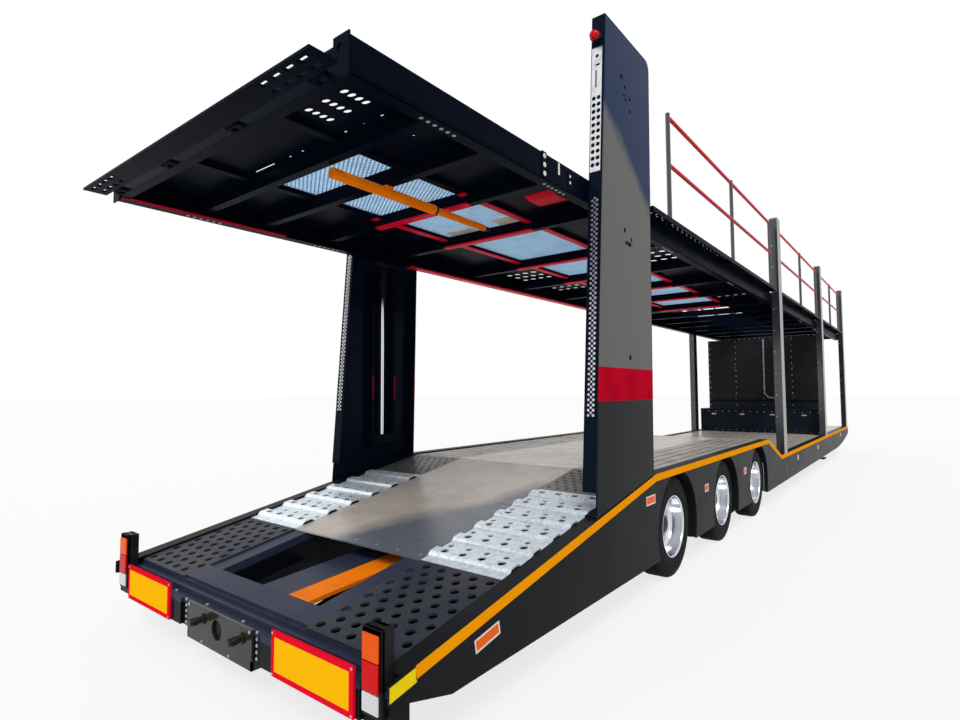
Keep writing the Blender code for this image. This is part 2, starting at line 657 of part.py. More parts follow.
for n in range(AXLES):
    s = axle_station(n)
    piece("axle_%d" % (n + 1), FRAME, axle_members(n), origin=(0, s, TYRE_R))
    for tag, side in SIDES:
        hub = pivot("wheel_%d_%s_spin" % (n + 1, tag), side * TYRE_OUT, s, TYRE_R)
        piece("tyres_%d_%s" % (n + 1, tag), RUBBER, [lathe(tyre_profile(), s, TYRE_R, side, WHEEL_SIDES)],
              parent=hub)
        piece("rims_%d_%s" % (n + 1, tag), ALLOY, [lathe(rim_profile(), s, TYRE_R, side, WHEEL_SIDES)],
              parent=hub)


# Landing legs, joined by their drive shaft

leg_front = CROSS_WELL_S + CROSS_WELL_PITCH * LEG_CROSS - GAP
leg_mid = leg_front - LEG_W / 2
leg_members = [rod((-LEG_X, leg_mid, LEG_SHAFT_Z), (LEG_X, leg_mid, LEG_SHAFT_Z), LEG_SHAFT_R, ROUND_SIDES)]
for _, side in SIDES:
    for width, z in ((LEG_W, (LEG_BOTTOM_Z, deck_z(leg_mid) - PLATE_T - GAP)),
                     (LEG_INNER_W, (FOOT_T - BITE, LEG_BOTTOM_Z + BITE)), (FOOT_W, (0.0, FOOT_T))):
        leg_members.append(block(across(side, LEG_X - width / 2, LEG_X + width / 2),
                                 (leg_mid - width / 2, leg_mid + width / 2), z))
piece("landing_legs", FRAME, leg_members, origin=(0, leg_mid, 0))


# Locker across the well, with two lids hinged along its front edge

floor_z = deck_z(LOCKER_S[0]) + GAP
halves = [block(across(side, SHEET_T / 2, LOCKER_HALF - SHEET_T),
                (LOCKER_S[0] + SHEET_T, LOCKER_S[1] - SHEET_T),
                (floor_z + SHEET_T, LOCKER_TOP_Z + 0.1)) for _, side in SIDES]
piece("locker_box", BLACK, [block((-LOCKER_HALF, LOCKER_HALF), LOCKER_S, (floor_z, LOCKER_TOP_Z))], halves,
      origin=(0, LOCKER_S[0], floor_z))
lid_z = (LOCKER_TOP_Z + GAP, LOCKER_TOP_Z + GAP + LID_T)
lid_pivot = (LOCKER_S[1] + LID_PIVOT_OUT, (lid_z[0] + lid_z[1]) / 2)
for tag, side in SIDES:
    hinge = pivot("locker_lid_%s_hinge" % tag, side * LOCKER_HALF / 2, *lid_pivot)
    span = across(side, RUN / 2, LOCKER_HALF)
    piece("locker_lid_" + tag, BLACK,
          [block(span, (LOCKER_S[0] - LID_OVERHANG, lid_pivot[0]), lid_z),
           rod((span[0], *lid_pivot), (span[1], *lid_pivot), LID_T / 2, ROUND_SIDES)], parent=hinge)


# Bulkhead: a sheet with its framing on the front

wall_half = TRACK_OUT
half_rib = BULKHEAD_RIB / 2
wall_z = (deck_z(BULKHEAD_S) + GAP, BULKHEAD_TOP_Z)
wall = [block((-wall_half, wall_half), (BULKHEAD_S, BULKHEAD_S + BULKHEAD_T), wall_z)]
rib_s = (BULKHEAD_S + BULKHEAD_T - BITE, BULKHEAD_S + BULKHEAD_T + BULKHEAD_RIB)
for n in range(BULKHEAD_RIB_COUNT):
    x = (wall_half - half_rib) * (2 * n / (BULKHEAD_RIB_COUNT - 1) - 1)
    wall.append(block((x - half_rib, x + half_rib), rib_s, wall_z))
for z in BULKHEAD_RIBS_Z:
    wall.append(block((-wall_half, wall_half), (rib_s[0], rib_s[1] - BITE), (z - half_rib, z + half_rib)))
piece("bulkhead", BLACK, wall, origin=(0, BULKHEAD_S, wall_z[0]))


# Rear towers: tapered channels with guides inside for the lift, and the rod on its foot

def tower_edge(z):
    """Rear and front edges of the tower at height z."""
    t = (z - OVER_Z) / (TOWER_REAR_Z - OVER_Z)
    return [base + (top - base) * t for base, top in zip(TOWER_BASE_S, TOWER_TOP_S)]


def tower_strip(edge, inward, z0, z1):
    """Side view of a flange along the tower's rear (0) or front (1) edge."""
    a, b = tower_edge(z0)[edge], tower_edge(z1)[edge]
    return ((a, z0), (a + inward, z0), (b + inward, z1), (b, z1))


def tower_outline():
    rear, front = TOWER_BASE_S
    lift = GAP + BITE
    return ((rear, rave_z(rear) + lift), (front, rave_z(front) + lift), (tower_edge(TOWER_FRONT_Z)[1], TOWER_FRONT_Z),
            (TOWER_TOP_S[1] - 0.04, TOWER_REAR_Z - 0.005), (TOWER_TOP_S[0], TOWER_REAR_Z))


for tag, side in SIDES:
    web_x = across(side, TOWER_OUT - TOWER_T, TOWER_OUT)
    deep = across(side, TOWER_IN, TOWER_OUT - BITE)
    base_z = rave_z(TOWER_BASE_S[1]) + GAP
    members = [prism(tower_outline(), *web_x),
               prism(tower_strip(0, TOWER_T, base_z, TOWER_REAR_Z - BITE), *deep),
               prism(tower_strip(1, -TOWER_T, base_z, TOWER_FRONT_Z - BITE), *deep),
               block(deep, (tower_edge(TOWER_FRONT_Z)[0] + BITE, tower_edge(TOWER_FRONT_Z)[1] - BITE),
                     (TOWER_FRONT_Z - TOWER_T, TOWER_FRONT_Z - BITE)),
               ribbon(RAVE_TOP, TOWER_BASE_S[0] + 0.02, TOWER_BASE_S[1] - 0.02, -TOWER_T, *deep, lower=-GAP)]
    for s in (GUIDE_S[0], GUIDE_S[1] - GUIDE_T):
        members.append(block(across(side, TOWER_IN + 0.010, TOWER_OUT - TOWER_T + BITE),
                             (s, s + GUIDE_T), GUIDE_Z))
    lift_x = side * (TOWER_IN + TOWER_OUT - TOWER_T) / 2
    members.append(block((lift_x - FOOT_BLOCK_W / 2, lift_x + FOOT_BLOCK_W / 2),
                         (GUIDE_S[0] + BITE, GUIDE_S[1] - BITE), (ROD_FOOT_Z - FOOT_BLOCK, ROD_FOOT_Z)))
    members.append(block(across(side, TOWER_IN + 0.02, TOWER_OUT - TOWER_T + BITE),
                         (GUIDE_S[0] + BITE, GUIDE_S[1] - BITE),
                         (ROD_FOOT_Z - FOOT_BLOCK - TOWER_T, ROD_FOOT_Z - FOOT_BLOCK + BITE)))
    members.append(rod((lift_x, LIFT_S, ROD_FOOT_Z - BITE), (lift_x, LIFT_S, ROD_TOP_Z), ROD_R, LIFT_SIDES))
    piece("rear_tower_" + tag, BLACK, members, origin=(side * TOWER_OUT, TOWER_BASE_S[0], base_z))

    # Lift carriage: the cylinder's barrel with the shoe that carries the upper deck
    slide = pivot("lift_%s_slide" % tag, lift_x, LIFT_S, SHOE_Z[0])
    shoe_x = across(side, TOWER_IN + RUN, TOWER_OUT - TOWER_T - RUN)
    barrel = rod((lift_x, LIFT_S, BARREL_Z[0]), (lift_x, LIFT_S, BARREL_Z[1]), BARREL_R, LIFT_SIDES)
    shoe = block(shoe_x, (GUIDE_S[0] + GUIDE_T + RUN, GUIDE_S[1] - GUIDE_T - RUN), SHOE_Z)
    bore = rod((lift_x, LIFT_S, BARREL_Z[0] - 0.02), (lift_x, LIFT_S, BARREL_Z[1] - 0.05),
               ROD_R + GAP, LIFT_SIDES)
    piece("lift_carriage_" + tag, FRAME, [barrel, shoe], [bore], parent=slide)


# Front posts: square towers with chamfered caps and a slot down the inner face

for label, s in zip(("mid", "front", "nose"), POST_S):
    for tag, side in SIDES:
        base_z = rave_z(s) + GAP
        post = block(across(side, *POST_X), (s, s + POST_L), (base_z, POST_TOP_Z - POST_CAP))
        cap = prism(((s, POST_TOP_Z - POST_CAP - BITE), (s + POST_L, POST_TOP_Z - POST_CAP - BITE),
                     (s + POST_L, POST_TOP_Z - POST_CAP), (s + POST_L - POST_CAP, POST_TOP_Z),
                     (s + POST_CAP, POST_TOP_Z), (s, POST_TOP_Z - POST_CAP)), *across(side, *POST_X))
        slot = block(across(side, POST_X[0] - 0.01, POST_X[0] + POST_SLOT_D),
                     (s + (POST_L - POST_SLOT_L) / 2, s + (POST_L + POST_SLOT_L) / 2), POST_SLOT_Z)
        slots = [slot]
        piece("%s_post_%s" % (label, tag), BLACK, [post, cap], slots, origin=(side * POST_X[0], s, base_z))


# Upper decks: channel side beams, cross-members, tracks and inner rails, on a hinge boss

def cross_stations(s0, s1):
    count = max(2, round((s1 - s0) / UPPER_CROSS_PITCH))
    return [s0 + (s1 - UPPER_CROSS_W - s0) * n / count for n in range(count + 1)]


def upper_deck(s0, s1, hinge_s, crosses):
    members = []
    reach = BEAM_X[1] - BEAM_T + BITE
    for _, side in SIDES:
        members.append(block(across(side, BEAM_X[1] - BEAM_T, BEAM_X[1]), (s0, s1), BEAM_Z))
        for z in ((BEAM_Z[0], BEAM_Z[0] + BEAM_T), (BEAM_Z[1] - BEAM_T, BEAM_Z[1])):
            members.append(block(across(side, BEAM_X[0], BEAM_X[1] - BITE), (s0, s1), z))
        members.append(block(across(side, UPPER_TRACK_IN, BEAM_X[1] - BITE),
                             (s0 + BITE, s1 - BITE), (UPPER_TRACK_Z, UPPER_TRACK_Z + UPPER_TRACK_T)))
        members.append(block(across(side, UPPER_TRACK_IN - INNER_RAIL_W, UPPER_TRACK_IN + BITE),
                             (s0 + BITE, s1 - BITE), (UPPER_TRACK_Z - INNER_RAIL_H, UPPER_TRACK_Z + UPPER_TRACK_T)))
        members.append(rod((side * (BEAM_X[1] - BITE), hinge_s, HINGE_Z), (side * (POST_X[0] - GAP), hinge_s, HINGE_Z),
                           BOSS_R, ROUND_SIDES))
    for s in crosses:
        members.append(block((-reach, reach), (s, s + UPPER_CROSS_W), UPPER_CROSS_Z))
    return members


rear_pivot = pivot("rear_deck_tilt", 0, REAR_HINGE_S, HINGE_Z)
front_pivot = pivot("front_deck_tilt", 0, FRONT_HINGE_S, HINGE_Z)

rear_crosses = (REAR_DECK_S,) + REAR_CROSS + (REAR_DECK_END_S - UPPER_CROSS_W,)
rear_members = upper_deck(REAR_DECK_S, REAR_DECK_END_S, REAR_HINGE_S, rear_crosses)
for _, side in SIDES:
    rear_members.append(rod((side * (BEAM_X[1] - BITE), LIFT_S, HINGE_Z),
                            (side * (TOWER_IN + RUN - GAP), LIFT_S, HINGE_Z), BOSS_R * 0.8, ROUND_SIDES))
for x in FLAP_LUGS_X:
    for lug in (x - FLAP_LUG_W, x + FLAP_LUG_W / 2 + GAP):
        lug_x = (lug, lug + FLAP_LUG_W / 2 - GAP)
        rear_members.append(block(lug_x, (FLAP_PIVOT_S, REAR_DECK_S + BITE),
                                  (FLAP_PIVOT_Z - FLAP_PIN_R, FLAP_PIVOT_Z + FLAP_PIN_R)))
        rear_members.append(rod((lug_x[0], FLAP_PIVOT_S, FLAP_PIVOT_Z), (lug_x[1], FLAP_PIVOT_S, FLAP_PIVOT_Z),
                                FLAP_PIN_R, ROUND_SIDES))
rear_members.append(block((-UPPER_TRACK_IN + BITE, UPPER_TRACK_IN - BITE), (REAR_DECK_S + BITE, MESH_REAR_S - MESH_T),
                          (UPPER_TRACK_Z, UPPER_TRACK_Z + UPPER_TRACK_T)))
rear_members.append(block((-BEAM_X[1] + BEAM_T - BITE, BEAM_X[1] - BEAM_T + BITE),
                          (REAR_DECK_S, REAR_DECK_S + UPPER_CROSS_W),
                          (FLAP_PIVOT_Z - FLAP_PIN_R - BITE, UPPER_CROSS_Z[0] + BITE)))
piece("rear_deck_frame", BLACK, rear_members, parent=rear_pivot)
piece("front_deck_frame", BLACK,
      upper_deck(FRONT_DECK_S, FRONT_DECK_END_S, FRONT_HINGE_S, cross_stations(FRONT_DECK_S, FRONT_DECK_END_S)),
      parent=front_pivot)

# Mesh floor: a plate with a plain grid of openings
mesh_z = (UPPER_CROSS_Z[1] + GAP, UPPER_CROSS_Z[1] + GAP + MESH_T)
mesh_half = UPPER_TRACK_IN - INNER_RAIL_W - GAP
mesh_end_s = REAR_DECK_END_S - BITE
cell_x = (2 * mesh_half - MESH_BAR) / MESH_COLUMNS
cell_s = (mesh_end_s - MESH_REAR_S - MESH_BAR) / MESH_ROWS
mesh_cells = []
for column in range(MESH_COLUMNS):
    x = -mesh_half + cell_x * column
    for row in range(MESH_ROWS):
        s = MESH_REAR_S + cell_s * row
        mesh_cells.append(block((x + MESH_BAR, x + cell_x), (s + MESH_BAR, s + cell_s),
                                (mesh_z[0] - MESH_T, mesh_z[1] + MESH_T)))
piece("rear_deck_mesh", FRAME, [block((-mesh_half, mesh_half), (MESH_REAR_S, mesh_end_s), mesh_z)], mesh_cells,
      parent=rear_pivot)

strut_cross = [s for s in REAR_CROSS if STRUT_S[0] < s < STRUT_S[1]]
strut = [rod((STRUT_X, STRUT_S[0], STRUT_Z), (STRUT_X, STRUT_S[1], STRUT_Z), STRUT_R, ROUND_SIDES),
         rod((STRUT_X, STRUT_S[1] - BITE, STRUT_Z), (STRUT_X, STRUT_S[2], STRUT_Z), STRUT_ROD_R, ROUND_SIDES)]
for s in strut_cross:
    strut.append(block((STRUT_X - 0.03, STRUT_X + 0.03), (s, s + UPPER_CROSS_W),
                       (STRUT_Z, UPPER_CROSS_Z[0] - GAP)))
piece("deck_cylinder", ORANGE, strut, parent=rear_pivot)

flap_pivot = pivot("rear_flap_hinge", 0, FLAP_PIVOT_S, FLAP_PIVOT_Z)
flap_edge_s = FLAP_PIVOT_S - FLAP_PIN_R - RUN - BITE
flap = [block((-FLAP_HALF, FLAP_HALF), (FLAP_TIP_S, flap_edge_s),
              (FLAP_PIVOT_Z - FLAP_T / 2, FLAP_PIVOT_Z + FLAP_T / 2))]
for x in FLAP_LUGS_X:
    flap.append(block((x - FLAP_LUG_W / 2 + GAP, x + FLAP_LUG_W / 2 - GAP), (flap_edge_s - BITE, FLAP_PIVOT_S),
                      (FLAP_PIVOT_Z - FLAP_T / 2 + 0.001, FLAP_PIVOT_Z + FLAP_T / 2 - 0.001)))
    flap.append(rod((x - FLAP_LUG_W / 2 + GAP, FLAP_PIVOT_S, FLAP_PIVOT_Z),
                    (x + FLAP_LUG_W / 2 - GAP, FLAP_PIVOT_S, FLAP_PIVOT_Z), FLAP_PIN_R, ROUND_SIDES))
piece("rear_flap", BLACK, flap, parent=flap_pivot)


# Walkways outside the upper decks, with their railings

for label, s0, s1, stations in RAILINGS:
    home = rear_pivot if label == "rear" else front_pivot
    for tag, side in SIDES:
        x = side * RAIL_X
        members = [block(across(side, WALK_X[0] + GAP, WALK_X[1]), (s0, s1), WALK_Z)]
        for z in (RAIL_MID_Z, RAIL_TOP_Z):
            members.append(rod((x, stations[0], z), (x, stations[-1], z), RAIL_R, RAIL_SIDES))
        for s in stations:
            members.append(rod((x, s, WALK_Z[1] - BITE), (x, s, RAIL_TOP_Z + 0.03), RAIL_POST_R, RAIL_SIDES))
        piece("%s_railing_%s" % (label, tag), RED, members, parent=home)
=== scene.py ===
import math

import bmesh
import bpy
from mathutils import Matrix, Vector


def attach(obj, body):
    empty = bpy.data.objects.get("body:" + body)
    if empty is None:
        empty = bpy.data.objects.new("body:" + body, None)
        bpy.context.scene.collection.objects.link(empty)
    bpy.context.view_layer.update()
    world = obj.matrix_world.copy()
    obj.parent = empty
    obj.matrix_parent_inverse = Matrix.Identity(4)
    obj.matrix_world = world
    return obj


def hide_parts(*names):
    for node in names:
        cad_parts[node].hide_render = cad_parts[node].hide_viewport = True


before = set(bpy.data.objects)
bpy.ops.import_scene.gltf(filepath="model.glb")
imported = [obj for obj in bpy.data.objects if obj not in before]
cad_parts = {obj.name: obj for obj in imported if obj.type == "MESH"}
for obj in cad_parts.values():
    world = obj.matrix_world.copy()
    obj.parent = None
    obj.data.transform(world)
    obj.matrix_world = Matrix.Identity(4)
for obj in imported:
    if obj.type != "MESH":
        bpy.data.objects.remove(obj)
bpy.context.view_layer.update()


# Side raves. Folded steel plates down both sides in satin charcoal, with an arch and a mudguard
# over each twin wheel, a flange along the top and an orange-yellow stripe let in under it. They
# carry amber side markers, and a blank yellow plate at the right rear.

MIDDLE_S = 7.4075           # stations count forward from the tail's rear face
SIDES = (("right", 1), ("left", -1))
HALF_WIDTH = 1.275
RAVE_TOP = ((0.0, 0.39), (2.62, 0.856), (6.33, 0.856), (7.11, 0.59), (15.1, 0.59))
SKIRT_T = 0.008
INLAY_T = 0.0015            # stripe, markers and plate lie flush in the skirt
STRIPE_W = 0.052
STRIPE_START_S = 0.14
SWEEP_S = (12.7, 15.1)
ARCH_R = 0.435
ARCH_STEPS = 40
ARCH_FOOT_Z = 0.232
GUARD_X = (0.712, 0.716)    # the mudguards' inner walls
AXLES_S = (3.07, 4.43, 5.79)
HUB_Z = 0.3925


def fwd(s):
    return s - MIDDLE_S


def rave_z(s):
    """Height of the rave's top line at station s."""
    for (s0, z0), (s1, z1) in zip(RAVE_TOP, RAVE_TOP[1:]):
        if s <= s1:
            return z0 + (z1 - z0) * (s - s0) / (s1 - s0)
    return RAVE_TOP[-1][1]


def prism(outline, x0, x1):
    """A side-view outline of (s, z) corners, pushed across from x0 to x1."""
    solid = bmesh.new()
    face = solid.faces.new([solid.verts.new((x0, fwd(s), z)) for s, z in outline])
    grown = bmesh.ops.extrude_face_region(solid, geom=[face])["geom"]
    verts = [v for v in grown if isinstance(v, bmesh.types.BMVert)]
    bmesh.ops.translate(solid, vec=(x1 - x0, 0, 0), verts=verts)
    bmesh.ops.recalc_face_normals(solid, faces=solid.faces)
    return solid


def block(x, s, z):
    return prism(((s[0], z[0]), (s[1], z[0]), (s[1], z[1]), (s[0], z[1])), x[0], x[1])


def ribbon(s0, s1, depth, x0, x1, lower=0.0):
    """A plate that follows the rave's top line from s0 to s1, `lower` beneath it."""
    stations = [s0] + [s for s, _ in RAVE_TOP if s0 < s < s1] + [s1]
    top = [(s, rave_z(s) - lower) for s in stations]
    return prism(top + [(s, z - depth) for s, z in reversed(top)], x0, x1)


def across(side, low, high):
    """The span from low to high on one side of the trailer, in rising X."""
    return (low, high) if side > 0 else (-high, -low)


def tube(start, end, radius, sides=24):
    """A round bar between two (x, s, z) points."""
    a = Vector((start[0], fwd(start[1]), start[2]))
    b = Vector((end[0], fwd(end[1]), end[2]))
    run = b - a
    place = Matrix.Translation((a + b) / 2) @ run.to_track_quat("Z", "Y").to_matrix().to_4x4()
    bar = bmesh.new()
    bmesh.ops.create_cone(bar, cap_ends=True, segments=sides, radius1=radius, radius2=radius,
                          depth=run.length, matrix=place)
    return bar


def rod(x, s, z, radius, sides=24):
    """A round bar along that one of x, s and z that is given as a (from, to) pair."""
    start, end = (tuple(v[k] if isinstance(v, tuple) else v for v in (x, s, z)) for k in (0, 1))
    return tube(start, end, radius, sides)


def joined(parts):
    """Several shapes in one mesh; each stays a closed shell."""
    whole = bmesh.new()
    for part in parts:
        held = bpy.data.meshes.new("held")
        part.to_mesh(held)
        whole.from_mesh(held)
        bpy.data.meshes.remove(held)
    return whole


def as_object(name, shape):
    mesh = bpy.data.meshes.new(name)
    shape.to_mesh(mesh)
    obj = bpy.data.objects.new(name, mesh)
    bpy.context.scene.collection.objects.link(obj)
    return obj


def evaluated(obj):
    """The plain mesh that an object's modifiers make; the modifiers come off."""
    bpy.context.view_layer.update()
    mesh = bpy.data.meshes.new_from_object(obj.evaluated_get(bpy.context.evaluated_depsgraph_get()))
    obj.modifiers.clear()
    return mesh


def carved(solid, cutters):
    """A solid with every cutter taken out of it."""
    body = as_object("body", solid)
    tool = as_object("tool", joined(cutters))
    cut = body.modifiers.new("cut", "BOOLEAN")
    cut.operation = "DIFFERENCE"
    cut.object = tool
    cut.solver = "EXACT"
    result = bmesh.new()
    result.from_mesh(evaluated(body))
    bpy.data.objects.remove(body)
    bpy.data.objects.remove(tool)
    return result


def piece(name, finish, parts, replaces=(), bevel=0.0, sharp=32, body="chassis"):
    """A finished piece of the trailer, riding on a body of the part."""
    obj = as_object(name, joined(parts))
    if bevel:
        edge = obj.modifiers.new("edge", "BEVEL")
        edge.width = bevel
        edge.segments = 2
        edge.limit_method = "ANGLE"
        edge.angle_limit = math.radians(50)
        edge.use_clamp_overlap = True
        obj.data = evaluated(obj)
    obj.data.shade_smooth()
    obj.data.set_sharp_from_angle(angle=math.radians(sharp))
    flat = obj.modifiers.new("flat", "WEIGHTED_NORMAL")
    flat.keep_sharp = True
    obj.data = evaluated(obj)
    obj.data.name = name
    obj.data.materials.clear()
    obj.data.materials.append(finish.material)
    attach(obj, body)
    if replaces:
        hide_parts(*replaces)


def repaint(nodes, finish):
    """Gives CAD nodes, by the start of their names, a finish of this file."""
    for name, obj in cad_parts.items():
        if name.startswith(nodes):
            for held in obj.material_slots:
                held.material = finish.material


class Wire:
    """A node's output. Python arithmetic written on it adds Math nodes."""

    def __init__(self, graph, socket):
        self.graph = graph
        self.socket = socket

    def maths(self, operation, first, second=0.0):
        return self.graph.node("ShaderNodeMath", {"operation": operation}, {0: first, 1: second})

    def __add__(self, other):
        return self.maths("ADD", self, other)

    def __sub__(self, other):
        return self.maths("SUBTRACT", self, other)

    def __mul__(self, other):
        return self.maths("MULTIPLY", self, other)

    def __pow__(self, other):
        return self.maths("POWER", self, other)

    def __gt__(self, other):
        return self.maths("GREATER_THAN", self, other)

    def __lt__(self, other):
        return self.maths("LESS_THAN", self, other)

    __radd__ = __add__
    __rmul__ = __mul__


class Graph:
    """A node tree that is built one node at a time."""

    def __init__(self, tree):
        self.tree = tree

    def node(self, kind, settings=None, values=None, output=0):
        made = self.tree.nodes.new(kind)
        for key, value in (settings or {}).items():
            if key == "stops":
                for n, (place, tone) in enumerate(value):
                    stop = made.color_ramp.elements[n] if n < 2 else made.color_ramp.elements.new(place)
                    stop.position = place
                    stop.color = (tone, tone, tone, 1.0)
            else:
                setattr(made, key, value)
        for key, value in (values or {}).items():
            for item in value if isinstance(value, list) else [value]:
                if isinstance(item, Wire):
                    self.tree.links.new(item.socket, made.inputs[key])
                else:
                    made.inputs[key].default_value = item
        return Wire(self, made.outputs[output])


class Finish(Graph):
    """A finish of the trailer: one Principled shader with wear that follows Object coordinates."""

    def __init__(self, name, colour, roughness=0.4, metallic=0.0, specular=0.06, coat=0.0):
        self.material = bpy.data.materials.new(name)
        self.material.use_nodes = True
        super().__init__(self.material.node_tree)
        self.shader = self.tree.nodes["Principled BSDF"]
        self.colour = (*colour, 1.0)
        for key, value in (("Base Color", self.colour), ("Roughness", roughness), ("Metallic", metallic),
                ("Specular IOR Level", specular), ("Coat Weight", coat), ("Coat Roughness", 0.06)):
            self.shader.inputs[key].default_value = value
        self.place = self.node("ShaderNodeTexCoord", output="Object")
        axes = self.node("ShaderNodeSeparateXYZ", values={0: self.place})
        self.x, self.y, self.z = (Wire(self, axes.socket.node.outputs[n]) for n in range(3))

    def noise(self, scale, detail=4.0):
        return self.node("ShaderNodeTexNoise", values={
            "Vector": self.place, "Scale": scale, "Detail": detail, "Roughness": 0.55})

    def cells(self, scale, output="Distance"):
        return self.node("ShaderNodeTexVoronoi", values={"Vector": self.place, "Scale": scale},
            output=output)

    def ramp(self, amount, *stops):
        return self.node("ShaderNodeValToRGB", {"stops": stops}, {0: amount})

    def blend(self, share, first, second):
        return self.node("ShaderNodeMix", {"data_type": "RGBA"}, {0: share, 6: first, 7: second}, output=2)

    def feed(self, name, wire):
        self.tree.links.new(wire.socket, self.shader.inputs[name])

    def bump(self, height, depth):
        self.feed("Normal", self.node("ShaderNodeBump", values={
            "Height": height, "Distance": depth, "Strength": 1.0}))

    def weather(self, second, scale, share, roughness, depth=0.0004):
        """Patches of a second colour, uneven gloss and fine grain."""
        patches = self.ramp(self.noise(scale, 5.0), (0.42, 0.0), (0.72, 1.0))
        self.patched = self.blend(patches * share, self.colour, (*second, 1.0))
        self.feed("Base Color", self.patched)
        gloss = self.noise(scale * 2.3)
        self.feed("Roughness", roughness[0] + gloss * (roughness[1] - roughness[0]))
        self.bump(self.noise(160.0, 3.0), depth)
        return self


skirt_paint = Finish("satin charcoal paint", (0.0095, 0.0105, 0.0125), specular=0.03).weather(
    (0.016, 0.017, 0.019), 2.2, 0.7, (0.28, 0.46), 0.00015)
stripe_paint = Finish("orange-yellow stripe", (0.9, 0.33, 0.003), specular=0.0).weather(
    (0.8, 0.27, 0.003), 5.0, 0.5, (0.26, 0.44), 0.0002)
marker_amber = Finish("amber marker lens", (0.84, 0.125, 0.004), 0.16, specular=0.02, coat=0.1)
marker_amber.bump(marker_amber.noise(90.0, 2.0), 0.0008)
marker_white = Finish("white marker surround", (0.72, 0.72, 0.7)).weather(
    (0.55, 0.55, 0.53), 12.0, 0.6, (0.25, 0.45), 0.0002)
blank_plate = Finish("blank yellow plate", (0.86, 0.64, 0.01), specular=0.0).weather(
    (0.66, 0.48, 0.01), 14.0, 0.5, (0.25, 0.42), 0.0002)

# station, height and turn of each side marker, with its length and height
MARKERS = ((0.592, 0.373, 0.175, 0.165, 0.044), (2.505, 0.686, 0.0, 0.15, 0.048),
           (3.8, 0.6, 0.0, 0.09, 0.05), (5.15, 0.6, 0.0, 0.09, 0.05),
           (8.3, 0.45, 0.0, 0.11, 0.044), (10.3, 0.45, 0.0, 0.11, 0.044),
           (13.6, 0.47, 0.0, 0.11, 0.044))
PLATE_CORNERS = ((0.004, 0.328), (0.146, 0.353), (0.138, 0.409), (0.004, 0.385))
SKIRT_SEAMS_S = (7.3, 10.6, 13.0)


def turned_box(marker, grow):
    """Side-view corners of a marker, `grow` larger all round."""
    s, z, turn, length, height = marker
    cos, sin = math.cos(turn), math.sin(turn)
    corners = []
    for a, b in ((-1, -1), (1, -1), (1, 1), (-1, 1)):
        u, v = a * (length / 2 + grow), b * (height / 2 + grow)
        corners.append((s + u * cos - v * sin, z + u * sin + v * cos))
    return corners


def skirt_outline():
    sweep = []
    for n in range(13):
        t = n / 12
        sweep.append((SWEEP_S[0] + (SWEEP_S[1] - SWEEP_S[0]) * t, 0.225 + 0.195 * t * t))
    return list(RAVE_TOP) + ([(0.0, 0.32), (0.35, 0.225)] + sweep)[::-1]


def arch_edge(s, grow):
    """Points round an arch from its rear foot to its front one."""
    low = math.asin((ARCH_FOOT_Z - HUB_Z) / ARCH_R)
    return [(s - (ARCH_R + grow) * math.cos(low + (math.pi - 2 * low) * n / ARCH_STEPS),
             HUB_Z + (ARCH_R + grow) * math.sin(low + (math.pi - 2 * low) * n / ARCH_STEPS))
            for n in range(ARCH_STEPS + 1)]


for tag, side in SIDES:
    face = across(side, HALF_WIDTH - INLAY_T, HALF_WIDTH + 0.01)
    inlay = across(side, HALF_WIDTH - INLAY_T, HALF_WIDTH)
    cuts = [prism(turned_box(marker, 0.009), *face) for marker in MARKERS]
    cuts += [block(across(side, HALF_WIDTH - 0.002, HALF_WIDTH + 0.01), (s - 0.003, s + 0.003),
                   (0.2, rave_z(s) - STRIPE_W - 0.004)) for s in SKIRT_SEAMS_S]
    cuts.append(ribbon(STRIPE_START_S, 15.2, STRIPE_W + 0.02, *face, lower=-0.02))
    skirt = carved(prism(skirt_outline(), *across(side, HALF_WIDTH - SKIRT_T, HALF_WIDTH)), cuts)
    if side > 0:
        skirt = carved(skirt, [prism(PLATE_CORNERS, *face)])
    skirt = carved(skirt, [rod((side * 1.2, side * 1.35), s, HUB_Z, ARCH_R, 96) for s in AXLES_S])
    flange = ribbon(0.075, 15.1, 0.01, *across(side, HALF_WIDTH - 0.1, HALF_WIDTH - SKIRT_T))
    lips = [prism(arch_edge(s, 0.0) + arch_edge(s, 0.016)[::-1],
                  *across(side, HALF_WIDTH - 0.045, HALF_WIDTH - SKIRT_T)) for s in AXLES_S]
    piece("skirt_" + tag, skirt_paint, [skirt, flange] + lips,
          replaces=("side_rave_" + tag,))
    piece("stripe_" + tag, stripe_paint,
          [ribbon(STRIPE_START_S, 15.1, STRIPE_W, *inlay)])
    rims_of_markers = [carved(prism(turned_box(marker, 0.009), *inlay),
        [prism(turned_box(marker, 0.0), *face)]) for marker in MARKERS]
    piece("marker_surrounds_" + tag, marker_white, rims_of_markers)
    piece("side_markers_" + tag, marker_amber,
          [prism(turned_box(marker, -0.0002), *inlay) for marker in MARKERS])

for tag, side in SIDES:
    backs = []
    for s in AXLES_S:
        foot = arch_edge(s, 0.02)
        notch = [(s + 0.11, foot[-1][1]), (s + 0.11, 0.48), (s - 0.11, 0.48), (s - 0.11, foot[0][1])]
        backs.append(prism(foot + notch, *across(side, *GUARD_X)))
        backs.append(prism(arch_edge(s, -0.016) + arch_edge(s, -0.008)[::-1],
            *across(side, GUARD_X[1], HALF_WIDTH - 0.045)))
    piece("mudguards_" + tag, skirt_paint, backs)
piece("yellow_plate", blank_plate,
      [prism(PLATE_CORNERS, HALF_WIDTH - INLAY_T, HALF_WIDTH)])
